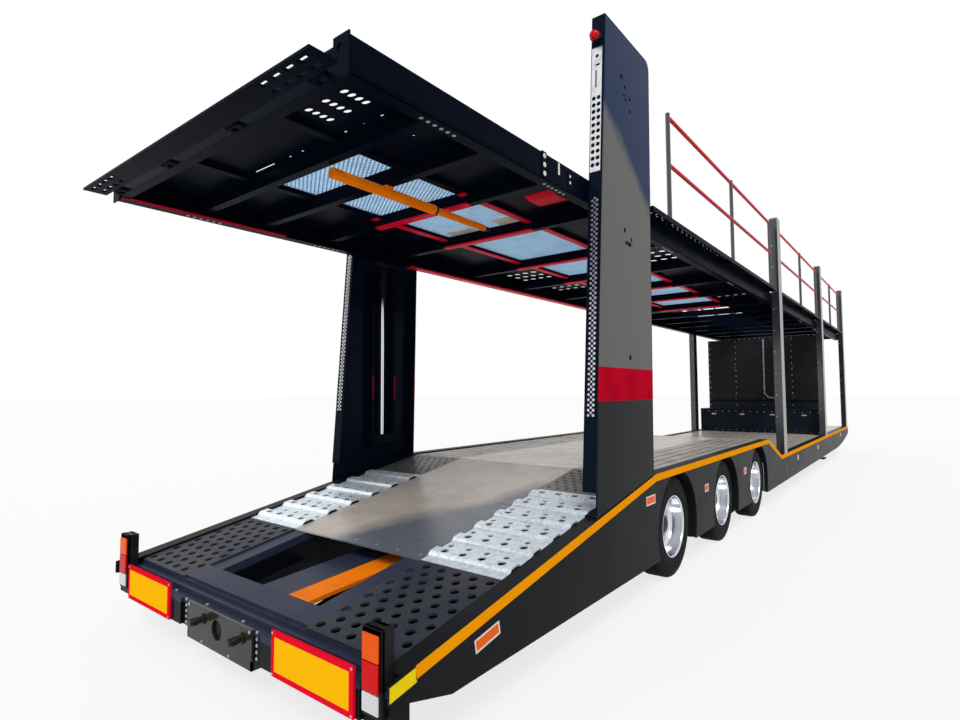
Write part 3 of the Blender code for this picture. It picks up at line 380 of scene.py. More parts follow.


# Main frame. Welded beams and cross-members in navy paint with road dust on it. Painted shade turns it
# black in the tail's opening, below the tail's upper faces and forward of station 1.12; the landing legs
# are in satin black chassis paint.

chassis_black = Finish("satin chassis paint", (0.007, 0.008, 0.011)).weather(
    (0.018, 0.017, 0.016), 3.0, 0.6, (0.34, 0.58))
frame_navy = Finish("navy frame paint", (0.024, 0.029, 0.058)).weather(
    (0.036, 0.04, 0.066), 2.6, 0.7, (0.24, 0.42), 0.0003)
# painted shade: the frame's colour in the tail's opening and forward of station 1.12
FRAME_PAINTED_SHADE = (0.004, 0.005, 0.007, 1.0)
tail_top = frame_navy.z - frame_navy.y * 0.17786 > 1.635    # the upper faces of the sloping tail
on_spine = (frame_navy.x > -0.12) * (frame_navy.x < 0.14) * (frame_navy.z > 0.335)
tail_top = tail_top.maths("MAXIMUM", tail_top, on_spine)
# Painted shade: navy with dust only on the tail's upper faces and the spine, black everywhere else.
frame_navy.feed("Base Color", frame_navy.blend(
    (frame_navy.y < fwd(1.12)) * tail_top, FRAME_PAINTED_SHADE, frame_navy.patched))
repaint(("main_frame",), frame_navy)
repaint(("landing_legs",), chassis_black)


# Bolts. Zinc-plated hex bolts hold the plates, boards and brackets; Geometry Nodes lays them out
# in rows on any face, each with its washer.

class Recipe(Graph):
    """A Geometry Nodes tree. Its named inputs, the sizes of what it makes, are its attributes."""

    def __init__(self, name, **sizes):
        super().__init__(bpy.data.node_groups.new(name, "GeometryNodeTree"))
        face = self.tree.interface
        face.new_socket("Geometry", in_out="INPUT", socket_type="NodeSocketGeometry")
        face.new_socket("Geometry", in_out="OUTPUT", socket_type="NodeSocketGeometry")
        self.sockets = {}
        for key, kind in sizes.items():
            socket = face.new_socket(key, in_out="INPUT", socket_type="NodeSocket" + kind)
            self.sockets[key] = socket.identifier
        start = self.tree.nodes.new("NodeGroupInput")
        self.base = Wire(self, start.outputs["Geometry"])
        for key in sizes:
            setattr(self, key, Wire(self, start.outputs[key]))

    def geometry(self, kind, **values):
        """A geometry node; the names of its inputs are written with _ for a space."""
        return self.node("GeometryNode" + kind, values={
            key.replace("_", " "): v for key, v in values.items()})

    def rod(self, corners, radius, depth):
        return self.geometry("MeshCylinder", Vertices=corners, Radius=radius, Depth=depth)

    def grid(self):
        """Points in columns and rows round the origin, from the recipe's own sizes."""
        return self.geometry("MeshGrid", Vertices_X=self.columns, Vertices_Y=self.rows,
            Size_X=(self.columns - 1) * self.pitch_x, Size_Y=(self.rows - 1) * self.pitch_y)

    def vector(self, x, y, z):
        return self.node("ShaderNodeCombineXYZ", values={0: x, 1: y, 2: z})

    def ends(self, geometry):
        """Realizes the instances, sets the material and closes the tree."""
        real = self.geometry("RealizeInstances", Geometry=geometry)
        done = self.geometry("SetMaterial", Geometry=real, Material=self.finish)
        finish = self.tree.nodes.new("NodeGroupOutput")
        self.tree.links.new(done.socket, finish.inputs["Geometry"])

    def made(self, base=None, place=None, **sizes):
        """The tree's result as a plain shape, set in its place."""
        holder = as_object("holder", base or bmesh.new())
        modifier = holder.modifiers.new("recipe", "NODES")
        modifier.node_group = self.tree
        for key, value in sizes.items():
            modifier[self.sockets[key]] = value.material if isinstance(value, Finish) else value
        shape = bmesh.new()
        shape.from_mesh(evaluated(holder))
        bpy.data.objects.remove(holder)
        if place:
            shape.transform(place)
        return shape


def lie(x, s, z, pitch=0.0):
    """A place at (x, s, z), turned up by `pitch` about the X axis."""
    return Matrix.Translation((x, fwd(s), z)) @ Matrix.Rotation(pitch, 4, "X")


def facing(side, x, s, z):
    """A place on an outer side face: the shape's Z points outwards and its X up."""
    turn = Matrix.Rotation(side * math.pi / 2, 4, "Y") @ Matrix.Rotation(math.pi, 4, "Z")
    return Matrix.Translation((x, fwd(s), z)) @ turn


BACKWARDS = math.pi / 2     # pitch that turns a shape's Z to the rear

bolt_rows = Recipe("bolt rows", columns="Int", rows="Int", pitch_x="Float", pitch_y="Float",
                   radius="Float", height="Float", finish="Material")
one_bolt = bolt_rows.geometry("JoinGeometry", Geometry=[
    bolt_rows.rod(6, bolt_rows.radius, bolt_rows.height),
    bolt_rows.rod(14, bolt_rows.radius * 1.5, bolt_rows.height * 0.4)])
bolt_rows.ends(bolt_rows.geometry("InstanceOnPoints", Points=bolt_rows.grid(), Instance=one_bolt))

bolt_zinc = Finish("zinc-plated bolts", (0.55, 0.56, 0.58), metallic=0.9).weather(
    (0.3, 0.29, 0.27), 40.0, 0.5, (0.25, 0.5), 0.0002)


def bolts(columns, rows, pitch_x, pitch_y, place, radius=0.009, height=0.009):
    return bolt_rows.made(place=place, columns=columns, rows=rows, pitch_x=pitch_x, pitch_y=pitch_y,
                          radius=radius, height=height, finish=bolt_zinc)


# Tail. A folded beam across the rear with a bolted coupling plate, two reflective marker boards
# and a lamp column at each corner. The beam is navy, with painted shade black on its lower part; the
# orange bar behind it is a tie.

orange_paint = Finish("orange paint", (0.95, 0.215, 0.003), specular=0.02).weather(
    (0.78, 0.16, 0.004), 6.0, 0.6, (0.28, 0.5), 0.0003)
board_red = Finish("red reflective film", (0.78, 0.006, 0.026), specular=0.0).weather(
    (0.6, 0.01, 0.02), 9.0, 0.5, (0.24, 0.4), 0.0002)
board_yellow = Finish("yellow reflective film", (0.92, 0.43, 0.004), 0.34, specular=0.0)
board_yellow.feed("Base Color", board_yellow.blend(
    board_yellow.node("ShaderNodeTexWave", {"bands_direction": "Z"},
                      {"Vector": board_yellow.place, "Scale": 32.0}) * 0.6,
    (0.96, 0.52, 0.004, 1.0), (0.84, 0.36, 0.003, 1.0)))
lens_red = Finish("red lamp lens", (0.6, 0.003, 0.006), 0.16, specular=0.03, coat=0.15)
lens_red.bump(lens_red.noise(70.0, 2.0), 0.0008)
lens_amber = Finish("amber lamp lens", (0.78, 0.095, 0.002), 0.16, specular=0.03, coat=0.15)
lens_amber.bump(lens_amber.cells(55.0), 0.002)
lens_clear = Finish("clear lamp lens", (0.62, 0.63, 0.65), 0.14, coat=0.7)
lens_clear.bump(lens_clear.cells(70.0), 0.003)
housing_black = Finish("black plastic housing", (0.01, 0.01, 0.011)).weather(
    (0.022, 0.022, 0.023), 15.0, 0.6, (0.24, 0.46), 0.0003)

LAMP_X = (1.115, 1.227)
LAMP_Z = (0.245, 0.575)
LENSES = (("red_middle", lens_red, 0.338, 0.448), ("amber_top", lens_amber, 0.452, 0.553),
          ("clear_bottom", lens_clear, 0.262, 0.334))
BOARD_X = (0.508, 1.073)
BOARD_Z = (0.205, 0.405)
BOARD_FRAME = 0.026

# Black paint lifted towards brown, partly a painted reflection of the ground on the coupling plate.
black_paint_and_reflection = Finish("gloss black paint", (0.018, 0.015, 0.013), specular=0.25).weather(
    (0.034, 0.027, 0.022), 2.2, 0.7, (0.08, 0.24), 0.00015)
# The beam takes the navy frame paint, so its lower part is painted black as shade.
repaint(("tail_beam",), frame_navy)
repaint(("tail_tie_bar",), orange_paint)

for tag, side in SIDES:
    housing = [block(across(side, *LAMP_X), (0.008, 0.0297), LAMP_Z),
               block(across(side, *LAMP_X), (0.008, 0.0747), (0.3455, LAMP_Z[1])),
               block(across(side, LAMP_X[0] + 0.012, LAMP_X[1] - 0.012), (0.045, 0.0747), (0.35, 0.575))]
    piece("lamp_housing_" + tag, housing_black, housing, replaces=("tail_lamp_" + tag,),
          bevel=0.006)
    for part, finish, low, high in LENSES:
        piece("lens_%s_%s" % (part, tag), finish,
              [block(across(side, LAMP_X[0] + 0.009, LAMP_X[1] - 0.013), (0.0, 0.01), (low, high))],
              bevel=0.003)
    piece("board_back_" + tag, board_red, [block(across(side, *BOARD_X), (0.002, 0.0147), BOARD_Z)],
          replaces=("marker_board_" + tag,), bevel=0.0008)
    inset = across(side, BOARD_X[0] + BOARD_FRAME, BOARD_X[1] - BOARD_FRAME)
    piece("board_centre_" + tag, board_yellow,
          [block(inset, (0.0008, 0.003), (BOARD_Z[0] + BOARD_FRAME, BOARD_Z[1] - BOARD_FRAME))])
    middle = side * (BOARD_X[0] + BOARD_X[1]) / 2
    piece("board_screws_" + tag, bolt_zinc,
          [bolts(2, 2, 0.545, 0.178, lie(middle, 0.001, 0.305, BACKWARDS), 0.004, 0.004)])

COUPLING_S = (0.0177, 0.0297)
COUPLING_HOLE = (-0.01, 0.267, 0.05)    # x, height and radius
LEVERS_X = (-0.15, 0.232)
LEVER_Z = 0.291
LEVER_ROUNDS = ((0.0177, -0.03, 0.017), (-0.012, -0.058, 0.022), (0.0177, 0.006, 0.027))

hole_x, hole_z, hole_r = COUPLING_HOLE
coupling_face = carved(block((-0.32, 0.32), COUPLING_S, (0.16, 0.35)),
                       [rod(hole_x, (-0.1, 0.1), hole_z, hole_r, 48)])
returns = [block((x - 0.006, x + 0.006), (COUPLING_S[0], 0.09), (0.16, 0.204)) for x in (-0.314, 0.314)]
piece("tail_coupling_plate", black_paint_and_reflection, [coupling_face] + returns,
      replaces=("tail_centre_plate",))
piece("tail_bolts", bolt_zinc,
      [bolts(1, 5, 0.0, 0.03, lie(side * 0.352, 0.026, 0.285, BACKWARDS), 0.0055) for _, side in SIDES]
      + [bolts(2, 1, 0.27, 0.0, lie(-0.02, 0.016, 0.176, BACKWARDS), 0.0045, 0.006)]
      + [bolts(2, 1, 0.6, 0.0, lie(0, 0.016, 0.335, BACKWARDS), 0.006)]
      + [bolts(6, 1, 0.36, 0.0, lie(0, 0.055, 0.346), 0.007, 0.01)])

lever_black = Finish("black lever knobs", (0.012, 0.012, 0.013), coat=0.4).weather(
    (0.03, 0.03, 0.032), 20.0, 0.6, (0.16, 0.34), 0.0002)
levers = [rod(x, (near, far), LEVER_Z, radius, 20)
          for x in LEVERS_X for near, far, radius in LEVER_ROUNDS]
piece("coupling_levers", lever_black, levers, bevel=0.003)


# Lower deck. Perforated steel tracks at the tail, galvanised grip tracks with raised cross ribs,
# a plain sheet down the middle with perforated knee plates, and slatted tracks over the wheels.
# Thin black trays under the tail are painted shade: they keep what shows through the tail's holes dark.

DECK_DROP = 0.012
TRACK_X = (0.6, 1.165)
SLOPE_END_S = 2.62
TAIL_SLOPE = math.atan2(rave_z(SLOPE_END_S) - rave_z(0.0), SLOPE_END_S)
TAIL_PLATE_S = (0.12, 0.857)
GRIP_S = (0.862, 2.098)
GRIP_RIBS = 6
GRIP_PITCH = (GRIP_S[1] - GRIP_S[0]) / GRIP_RIBS
KNEE_PLATE_S = (2.103, 2.617)
PLATE_T = 0.01
SHEET_S = (0.862, 6.327)
SHEET_SEAMS_S = (1.75, 2.6, 4.45)
SHEET_BOLTS_S = (0.905, 1.71, 1.79, 2.56, 2.66, 4.4, 4.5, 6.28)

deck_steel = Finish("blue-black deck steel", (0.031, 0.035, 0.048)).weather(
    (0.058, 0.058, 0.066), 3.5, 0.75, (0.3, 0.52), 0.0005)
sheet_steel = Finish("worn sheet", (0.52, 0.465, 0.4), specular=0.3).weather(
    (0.38, 0.345, 0.305), 2.4, 1.0, (0.16, 0.38))
# Painted shadow and reflection of the upper deck: a blue-grey patch over the rear of the sheet, spreading
# to the right.
painted_deck_shadow = sheet_steel.ramp(sheet_steel.noise(1.3, 5.0) * 0.5 + sheet_steel.x * 0.9 - (
    sheet_steel.y - fwd(1.35)) * 0.55, (0.2, 0.0), (0.42, 1.0))
sheet_steel.feed("Base Color", sheet_steel.blend(
    painted_deck_shadow * 0.92, sheet_steel.patched, (0.075, 0.092, 0.125, 1.0)))
galvanised = Finish("galvanised steel", (0.7, 0.78, 0.86), 0.34, metallic=0.45)
spangle = galvanised.cells(60.0, output="Color")
galvanised.feed("Base Color", galvanised.blend(
    galvanised.ramp(spangle, (0.2, 0.0), (0.8, 0.8)), (0.88, 0.96, 1.0, 1.0), (0.62, 0.7, 0.8, 1.0)))
galvanised.feed("Roughness", 0.22 + galvanised.noise(9.0) * 0.3)
galvanised.bump(galvanised.noise(130.0, 3.0), 0.0003)
worn_zinc = Finish("worn slats", (0.46, 0.43, 0.39), metallic=0.3).weather(
    (0.22, 0.205, 0.185), 4.0, 0.85, (0.25, 0.5))
knee_zinc = Finish("dulled galvanised plate", (0.15, 0.15, 0.155), metallic=0.2).weather(
    (0.28, 0.26, 0.23), 3.0, 0.8, (0.25, 0.5))

perforation = Recipe("perforation", columns="Int", rows="Int", pitch_x="Float", pitch_y="Float",
                     half_step="Float", hole_x="Float", hole_y="Float", corners="Int", finish="Material")
rows_of_holes = []
for sign in (-1.0, 1.0):
    shift = perforation.vector(perforation.half_step * sign * 0.5, perforation.pitch_y * sign * 0.25, 0.0)
    rows_of_holes.append(perforation.geometry("SetPosition", Geometry=perforation.grid(), Offset=shift))
punches = perforation.geometry("InstanceOnPoints",
    Points=perforation.geometry("JoinGeometry", Geometry=rows_of_holes),
    Instance=perforation.rod(perforation.corners, 0.5, 0.2),
    Scale=perforation.vector(perforation.hole_x, perforation.hole_y, 1.0))
perforation.ends(perforation.node("GeometryNodeMeshBoolean", {"operation": "DIFFERENCE"}, {
    "Mesh 1": perforation.base, "Mesh 2": perforation.geometry("RealizeInstances", Geometry=punches)}))


def slab(width, length, thick):
    """A flat plate round the origin, its top at Z 0."""
    plate = bmesh.new()
    bmesh.ops.create_cube(plate, size=1.0)
    plate.transform(Matrix.Translation((0, 0, -thick / 2)) @ Matrix.Diagonal((width, length, thick, 1)))
    return plate


def punched(width, length, thick, finish, place, columns, rows, pitch_x, pitch_y, hole_x, hole_y,
        corners=16, half_step=0.0, aside=0.0):
    """A plate with pairs of rows of holes, each second row moved by half_step and all of them aside."""
    plate = slab(width, length, thick)
    plate.transform(Matrix.Translation((-aside, 0, 0)))
    return perforation.made(plate, place @ Matrix.Translation((aside, 0, 0)), columns=columns, rows=rows,
                            pitch_x=pitch_x, pitch_y=pitch_y, half_step=half_step, hole_x=hole_x,
                            hole_y=hole_y, corners=corners, finish=finish)


def on_deck(side, s0, s1):
    """Place and length of a plate lying between two stations of the sloping deck."""
    middle = (s0 + s1) / 2
    place = lie(side * sum(TRACK_X) / 2, middle, (rave_z(s0) + rave_z(s1)) / 2 - DECK_DROP, TAIL_SLOPE)
    return place, (s1 - s0) / math.cos(TAIL_SLOPE)


def grip_outline():
    """Rolled cross ribs, their tops rounded."""
    start, end = GRIP_S
    top = [(start, rave_z(start) - DECK_DROP)]
    for n in range(GRIP_RIBS):
        foot = start + GRIP_PITCH * (n + 0.25)
        for step in range(13):
            t = step / 12
            s = foot + GRIP_PITCH * 0.52 * t
            top.append((s, rave_z(s) - DECK_DROP + 0.022 * min(1.0, math.sin(math.pi * t) * 1.5)))
    top.append((end, rave_z(end) - DECK_DROP))
    return top + [(s, z - 0.008) for s, z in reversed(top)]


track_width = TRACK_X[1] - TRACK_X[0]
for tag, side in SIDES:
    place, length = on_deck(side, *TAIL_PLATE_S)
    piece("tail_track_" + tag, deck_steel,
          [punched(track_width, length, PLATE_T, deck_steel, place, 5, 5, 0.108, 0.144, 0.048, 0.048,
                   20, 0.054)], replaces=("tail_plate_" + tag,))
    punches = []
    for n in range(GRIP_RIBS):
        crest = GRIP_S[0] + GRIP_PITCH * (n + 0.51)
        flat = GRIP_S[0] + GRIP_PITCH * (n + 1.02)
        for k in range(4):
            x = side * (TRACK_X[0] + 0.085 + 0.132 * k)
            punches.append(rod(x, crest, (rave_z(crest) - 0.1, rave_z(crest) + 0.1), 0.024, 16))
            if n < GRIP_RIBS - 1:
                x -= side * 0.045
                punches.append(rod(x, flat, (rave_z(flat) - 0.1, rave_z(flat) + 0.1), 0.019, 12))
    piece("ribbed_track_" + tag, galvanised,
          [carved(prism(grip_outline(), *across(side, *TRACK_X)), punches)],
          replaces=("grip_track_" + tag,), sharp=50)
    place, length = on_deck(side, *KNEE_PLATE_S)
    piece("knee_plate_" + tag, knee_zinc,
          [punched(track_width, length, PLATE_T, knee_zinc, place, 7, 4, 0.074, 0.116, 0.032, 0.032,
                   12, 0.037)])

# Painted shade: thin black trays under the tail, so the holes in its tracks show dark.
shade_trays = [ribbon(0.14, 2.6, 0.003, *across(side, 0.662, 1.16), lower=0.13) for _, side in SIDES]
shade_trays += [ribbon(0.2, 0.86, 0.003, 0.14, 0.655, lower=0.19),
         ribbon(0.3, 0.86, 0.003, -0.655, -0.14, lower=0.19)]
piece("tail_painted_shade_trays", chassis_black, shade_trays)
sheet = ribbon(*SHEET_S, PLATE_T, -0.595, 0.595, lower=DECK_DROP)
seams = [ribbon(s - 0.002, s + 0.002, 0.02, -0.6, 0.6, lower=DECK_DROP - 0.018) for s in SHEET_SEAMS_S]
piece("middle_sheet", sheet_steel, [carved(sheet, seams)], replaces=("centre_sheet",))
sheet_bolts = []
for s in SHEET_BOLTS_S:
    place = lie(0, s, rave_z(s) - DECK_DROP, TAIL_SLOPE if s < SLOPE_END_S else 0.0)
    sheet_bolts.append(bolts(7, 1, 0.185, 0.0, place, 0.006, 0.004))
piece("sheet_bolts", bolt_zinc, sheet_bolts)

repaint(("wheel_track",), worn_zinc)
repaint(("well_deck",), sheet_steel)


# Running gear. Axle tubes on trailing arms with air springs; each twin wheel is two road tyres on
# deep-dished forged aluminium wheels, held by ten nuts round the hub.

TYRE_OUT = 1.238
TYRE_W = 0.212
TWIN_PITCH = 0.25
GROOVES_X = (-0.052, -0.026, 0.0, 0.026, 0.052)
GROOVE_W = 0.0075
GROOVE_D = 0.011
TURNS = 72

tyre_rubber = Finish("tyre rubber", (0.012, 0.0122, 0.013)).weather(
    (0.024, 0.023, 0.022), 6.0, 0.6, (0.62, 0.9), 0.0006)
bright_alloy = Finish("polished aluminium", (0.64, 0.66, 0.7), 0.16, metallic=1.0)
bright_alloy.feed("Roughness", 0.08 + bright_alloy.noise(11.0) * 0.16)
bright_alloy.bump(bright_alloy.noise(180.0, 2.0), 0.0001)
hub_iron = Finish("painted hub iron", (0.03, 0.031, 0.035)).weather(
    (0.08, 0.075, 0.07), 14.0, 0.6, (0.35, 0.6))
repaint(("axle_",), chassis_black)


def turned(profile, turns, place, closed=False):
    """A profile of (distance along the axle, radius) turned about X, then set in its place."""
    shape = bmesh.new()
    verts = [shape.verts.new((a, 0.0, r)) for a, r in profile]
    pairs = list(zip(verts, verts[1:])) + ([(verts[-1], verts[0])] if closed else [])
    for a, b in pairs:
        shape.edges.new((a, b))
    bmesh.ops.spin(shape, geom=list(shape.verts) + list(shape.edges), cent=(0, 0, 0), axis=(1, 0, 0),
                   angle=math.tau, steps=turns, use_merge=True)
    bmesh.ops.remove_doubles(shape, verts=shape.verts, dist=1e-6)
    shape.transform(place)
    bmesh.ops.recalc_face_normals(shape, faces=shape.faces)
    return shape


def tyre_section():
    """Bead, ribbed side wall, shoulder and grooved tread, from the outer side round to the inner."""
    half = TYRE_W / 2
    wall = [(half - 0.014, 0.2353), (half - 0.01, 0.25), (half - 0.004, 0.258), (half - 0.0035, 0.264),
            (half - 0.001, 0.285), (half, 0.305), (half - 0.001, 0.32), (half - 0.0015, 0.3205),
            (half - 0.0005, 0.324), (half - 0.004, 0.328), (half - 0.008, 0.35), (half - 0.013, 0.366),
            (half - 0.015, 0.374), (half - 0.021, 0.383), (half - 0.031, 0.3895), (half - 0.042, 0.392)]
    tread = []
    for x in reversed(GROOVES_X):
        crown = 0.3925
        tread += [(x + GROOVE_W / 2 + 0.001, crown), (x + GROOVE_W / 2 - 0.001, crown - GROOVE_D),
                  (x - GROOVE_W / 2 + 0.001, crown - GROOVE_D), (x - GROOVE_W / 2 - 0.001, crown)]
    return wall + tread + [(-x, r) for x, r in reversed(wall)]


OUTER_RIM = ((-0.0065, 0.2385), (-0.0065, 0.231), (-0.012, 0.227), (-0.02, 0.2245), (-0.09, 0.215),
             (-0.112, 0.207), (-0.124, 0.195), (-0.128, 0.185), (-0.126, 0.15), (-0.12, 0.086),
             (-0.133, 0.08), (-0.14, 0.188), (-0.133, 0.205), (-0.12, 0.218), (-0.198, 0.226),
             (-0.198, 0.2345), (-0.0165, 0.2345), (-0.0165, 0.2385))
INNER_RIM = ((-0.264, 0.2345), (-0.264, 0.223), (-0.36, 0.218), (-0.448, 0.225), (-0.448, 0.2345))
HUB = ((-0.135, 0.0), (-0.135, 0.083), (-0.1, 0.081), (-0.086, 0.076), (-0.08, 0.064),
       (-0.076, 0.06), (-0.073, 0.056), (-0.07, 0.03), (-0.0695, 0.0))
DRUM = ((-0.435, 0.0), (-0.435, 0.165), (-0.15, 0.165), (-0.14, 0.16), (-0.14, 0.0))

wheel_nuts = Recipe("nuts round a hub", count="Int", ring="Float", radius="Float", height="Float",
                    finish="Material")
one_nut = wheel_nuts.geometry("JoinGeometry", Geometry=[
    wheel_nuts.rod(6, wheel_nuts.radius, wheel_nuts.height),
    wheel_nuts.rod(10, wheel_nuts.radius * 0.62, wheel_nuts.height * 1.6),
    wheel_nuts.rod(14, wheel_nuts.radius * 1.35, wheel_nuts.height * 0.35)])
wheel_nuts.ends(wheel_nuts.geometry("InstanceOnPoints", Instance=one_nut, Points=wheel_nuts.geometry(
    "MeshCircle", Vertices=wheel_nuts.count, Radius=wheel_nuts.ring)))

NUTS = 10
NUT_RING = 0.1125
WINDOWS = 10
WINDOW_RING = 0.156
WINDOW_R = 0.0215
WINDOW_X = (TYRE_OUT - 0.18, TYRE_OUT - 0.09)
NUT_FACE = TYRE_OUT - 0.112

for n, s in enumerate(AXLES_S, start=1):
    for tag, side in SIDES:
        wheel = "_%d_%s" % (n, tag)
        body = "wheels" + wheel
        axle = lie(0, s, HUB_Z) @ Matrix.Diagonal((side, 1, 1, 1))
        hub_place = axle @ Matrix.Translation((TYRE_OUT, 0, 0))
        pair = [turned(tyre_section(), TURNS, axle @ Matrix.Translation((x, 0, 0)), closed=True)
                for x in (TYRE_OUT - TYRE_W / 2, TYRE_OUT - TYRE_W / 2 - TWIN_PITCH)]
        piece("twin_tyres" + wheel, tyre_rubber, pair, replaces=("tyres" + wheel,), sharp=40,
              body=body)
        windows = []
        for k in range(WINDOWS):
            turn = math.tau * (k + 0.5) / WINDOWS
            y, z = s + WINDOW_RING * math.sin(turn), HUB_Z + WINDOW_RING * math.cos(turn)
            windows.append(rod((side * WINDOW_X[0], side * WINDOW_X[1]), y, z, WINDOW_R, 20))
        rims = [carved(turned(OUTER_RIM, TURNS, hub_place, closed=True), windows),
                turned(INNER_RIM, TURNS, hub_place, closed=True)]
        piece("alloy_wheels" + wheel, bright_alloy, rims, replaces=("rims" + wheel,), sharp=40,
              body=body)
        piece("hub_and_drum" + wheel, hub_iron, [turned(HUB, 40, hub_place), turned(DRUM, 40, hub_place)],
              sharp=35, body=body)
        nuts = wheel_nuts.made(place=facing(side, side * NUT_FACE, s, HUB_Z), count=NUTS,
                               ring=NUT_RING, radius=0.0145, height=0.022, finish=bolt_zinc)
        piece("wheel_nuts" + wheel, bolt_zinc, [nuts], body=body)


# Locker and bulkhead. A painted steel box across the well with doors and two hinged lids, and
# behind it a wall of sheets riveted to a frame, which carries a conduit and a round strap bar.

LOCKER_S = (11.62, 12.26)
LOCKER_Z = (0.59, 1.05)
LOCKER_DOORS_X = (-0.875, -0.293, 0.293, 0.875)
WALL_S = 12.3
CONDUIT_S = WALL_S - 0.016
BAR_S = WALL_S - 0.022
PANELS_X = (-0.85, -0.283, 0.283, 0.85)
PANELS_Z = ((1.1, 1.36), (1.44, 2.01), (2.09, 2.56))
CONDUIT = (((0.02, 1.4), (0.02, 2.6)), ((0.02, 1.4), (0.1, 1.31)), ((0.1, 1.31), (0.22, 1.293)))
BAR_Z = 1.26
BAR_FEET_X = (-1.12, -0.56, 0.56, 1.12)
conduit_grey = Finish("grey conduit", (0.34, 0.33, 0.31)).weather(
    (0.2, 0.19, 0.18), 12.0, 0.6, (0.3, 0.55), 0.0003)
wall_charcoal = Finish("charcoal wall paint", (0.0125, 0.014, 0.0165)).weather(
    (0.022, 0.023, 0.026), 3.0, 0.6, (0.24, 0.44), 0.0002)
locker_navy = Finish("navy locker paint", (0.006, 0.0095, 0.017)).weather(
    (0.012, 0.016, 0.026), 3.0, 0.6, (0.18, 0.36), 0.0002)
repaint(("locker_",), locker_navy)
repaint(("bulkhead",), wall_charcoal)

doors = [block((x - 0.268, x + 0.268), (LOCKER_S[0] - 0.007, LOCKER_S[0] + 0.001),
               (LOCKER_Z[0] + 0.035, LOCKER_Z[1] - 0.05)) for x in LOCKER_DOORS_X]
latches = [block((x - 0.045, x + 0.045), (LOCKER_S[0] - 0.022, LOCKER_S[0] - 0.006),
                 (LOCKER_Z[1] - 0.105, LOCKER_Z[1] - 0.08)) for x in LOCKER_DOORS_X]
piece("locker_doors", locker_navy, doors, bevel=0.003)
piece("locker_latches", bolt_zinc, latches, bevel=0.004)
piece("locker_rivets", bolt_zinc,
      [bolts(17, 2, 0.14, 0.395, lie(0, LOCKER_S[0] - 0.001, 0.82, BACKWARDS), 0.005, 0.004)])

panels = [block((x - 0.262, x + 0.262), (WALL_S - 0.004, WALL_S + 0.001), z)
          for x in PANELS_X for z in PANELS_Z]
piece("bulkhead_panels", wall_charcoal, panels, bevel=0.0015)
piece("bulkhead_rivets", bolt_zinc,
      [bolts(5, 12, 0.5665, 0.13, lie(0, WALL_S - 0.001, 1.86, BACKWARDS), 0.006, 0.005)]
      + [bolts(22, 3, 0.106, 0.645, lie(0, WALL_S - 0.001, 1.98, BACKWARDS), 0.0045, 0.004)])
conduit = [tube((x0, CONDUIT_S, z0), (x1, CONDUIT_S, z1), 0.014)
           for (x0, z0), (x1, z1) in CONDUIT]
piece("conduit", conduit_grey, conduit)
bar = [rod((-1.15, 1.15), BAR_S, BAR_Z, 0.017)]
bar += [block((x - 0.01, x + 0.01), (WALL_S - 0.024, WALL_S + 0.001), (BAR_Z - 0.014, BAR_Z + 0.014))
        for x in BAR_FEET_X]
piece("strap_bar", chassis_black, bar, bevel=0.002)


# Rear towers. Tapered channels of folded plate that guide the upper deck's lift: outer web with
# service holes, flanges with a perforated rack strip painted as sunlit zinc only above the upper deck,
# guides inside, and a chromed cylinder rod.

TOWER_X = (1.175, 1.27)
TOWER_BASE_S = (1.675, 2.585)
TOWER_TOP_S = (1.91, 2.655)
TOWER_Z = (0.856, 3.97)
TOWER_T = 0.01
TOWER_SEAT = 0.0003         # how far the plates stand above the flange
TOWER_LEAN = math.atan2(TOWER_TOP_S[0] - TOWER_BASE_S[0], TOWER_Z[1] - TOWER_Z[0])
LIFT_S = 2.2
LIFT_X = 1.2175
GUIDES_S = (2.06, 2.33)

band_red = Finish("red band", (0.48, 0.004, 0.02), specular=0.0).weather(
    (0.26, 0.003, 0.012), 5.0, 0.6, (0.14, 0.3), 0.0002)
rack_zinc = Finish("bright rack strip", (0.62, 0.63, 0.64), metallic=0.8).weather(
    (0.36, 0.36, 0.37), 18.0, 0.6, (0.22, 0.42), 0.0003)
chrome = Finish("hard chrome", (0.78, 0.78, 0.78), 0.08, metallic=1.0)
chrome.feed("Roughness", 0.05 + chrome.noise(8.0) * 0.08)
tower_navy = Finish("gloss navy-black paint", (0.004, 0.007, 0.017), specular=0.03).weather(
    (0.008, 0.012, 0.024), 1.4, 0.7, (0.07, 0.2), 0.0001)
tower_navy.shader.inputs["Specular Tint"].default_value = (0.6, 0.75, 1.0, 1.0)
# Painted reflection on the outer web: pale grey, the ground mirrored in it, low down and towards the rear,
# and a brighter navy higher up. Below the red band the web is near black.
reflection_drift = tower_navy.noise(1.6, 3.0) * 0.3 + (tower_navy.y - fwd(2.2)) * 0.48
high = tower_navy.ramp((tower_navy.z - 3.1) * 0.6 + reflection_drift + 0.35, (0.46, 0.0), (0.54, 1.0))
web_paint_and_reflection = tower_navy.blend(high, (0.125, 0.124, 0.12, 1.0), (0.004, 0.02, 0.075, 1.0))
web_paint_and_reflection = tower_navy.blend(tower_navy.z > 1.41, (0.012, 0.013, 0.015, 1.0), web_paint_and_reflection)
on_web = tower_navy.x.maths("ABSOLUTE", tower_navy.x) > 1.2692
tower_navy.feed("Base Color", tower_navy.blend(on_web, tower_navy.colour, web_paint_and_reflection))

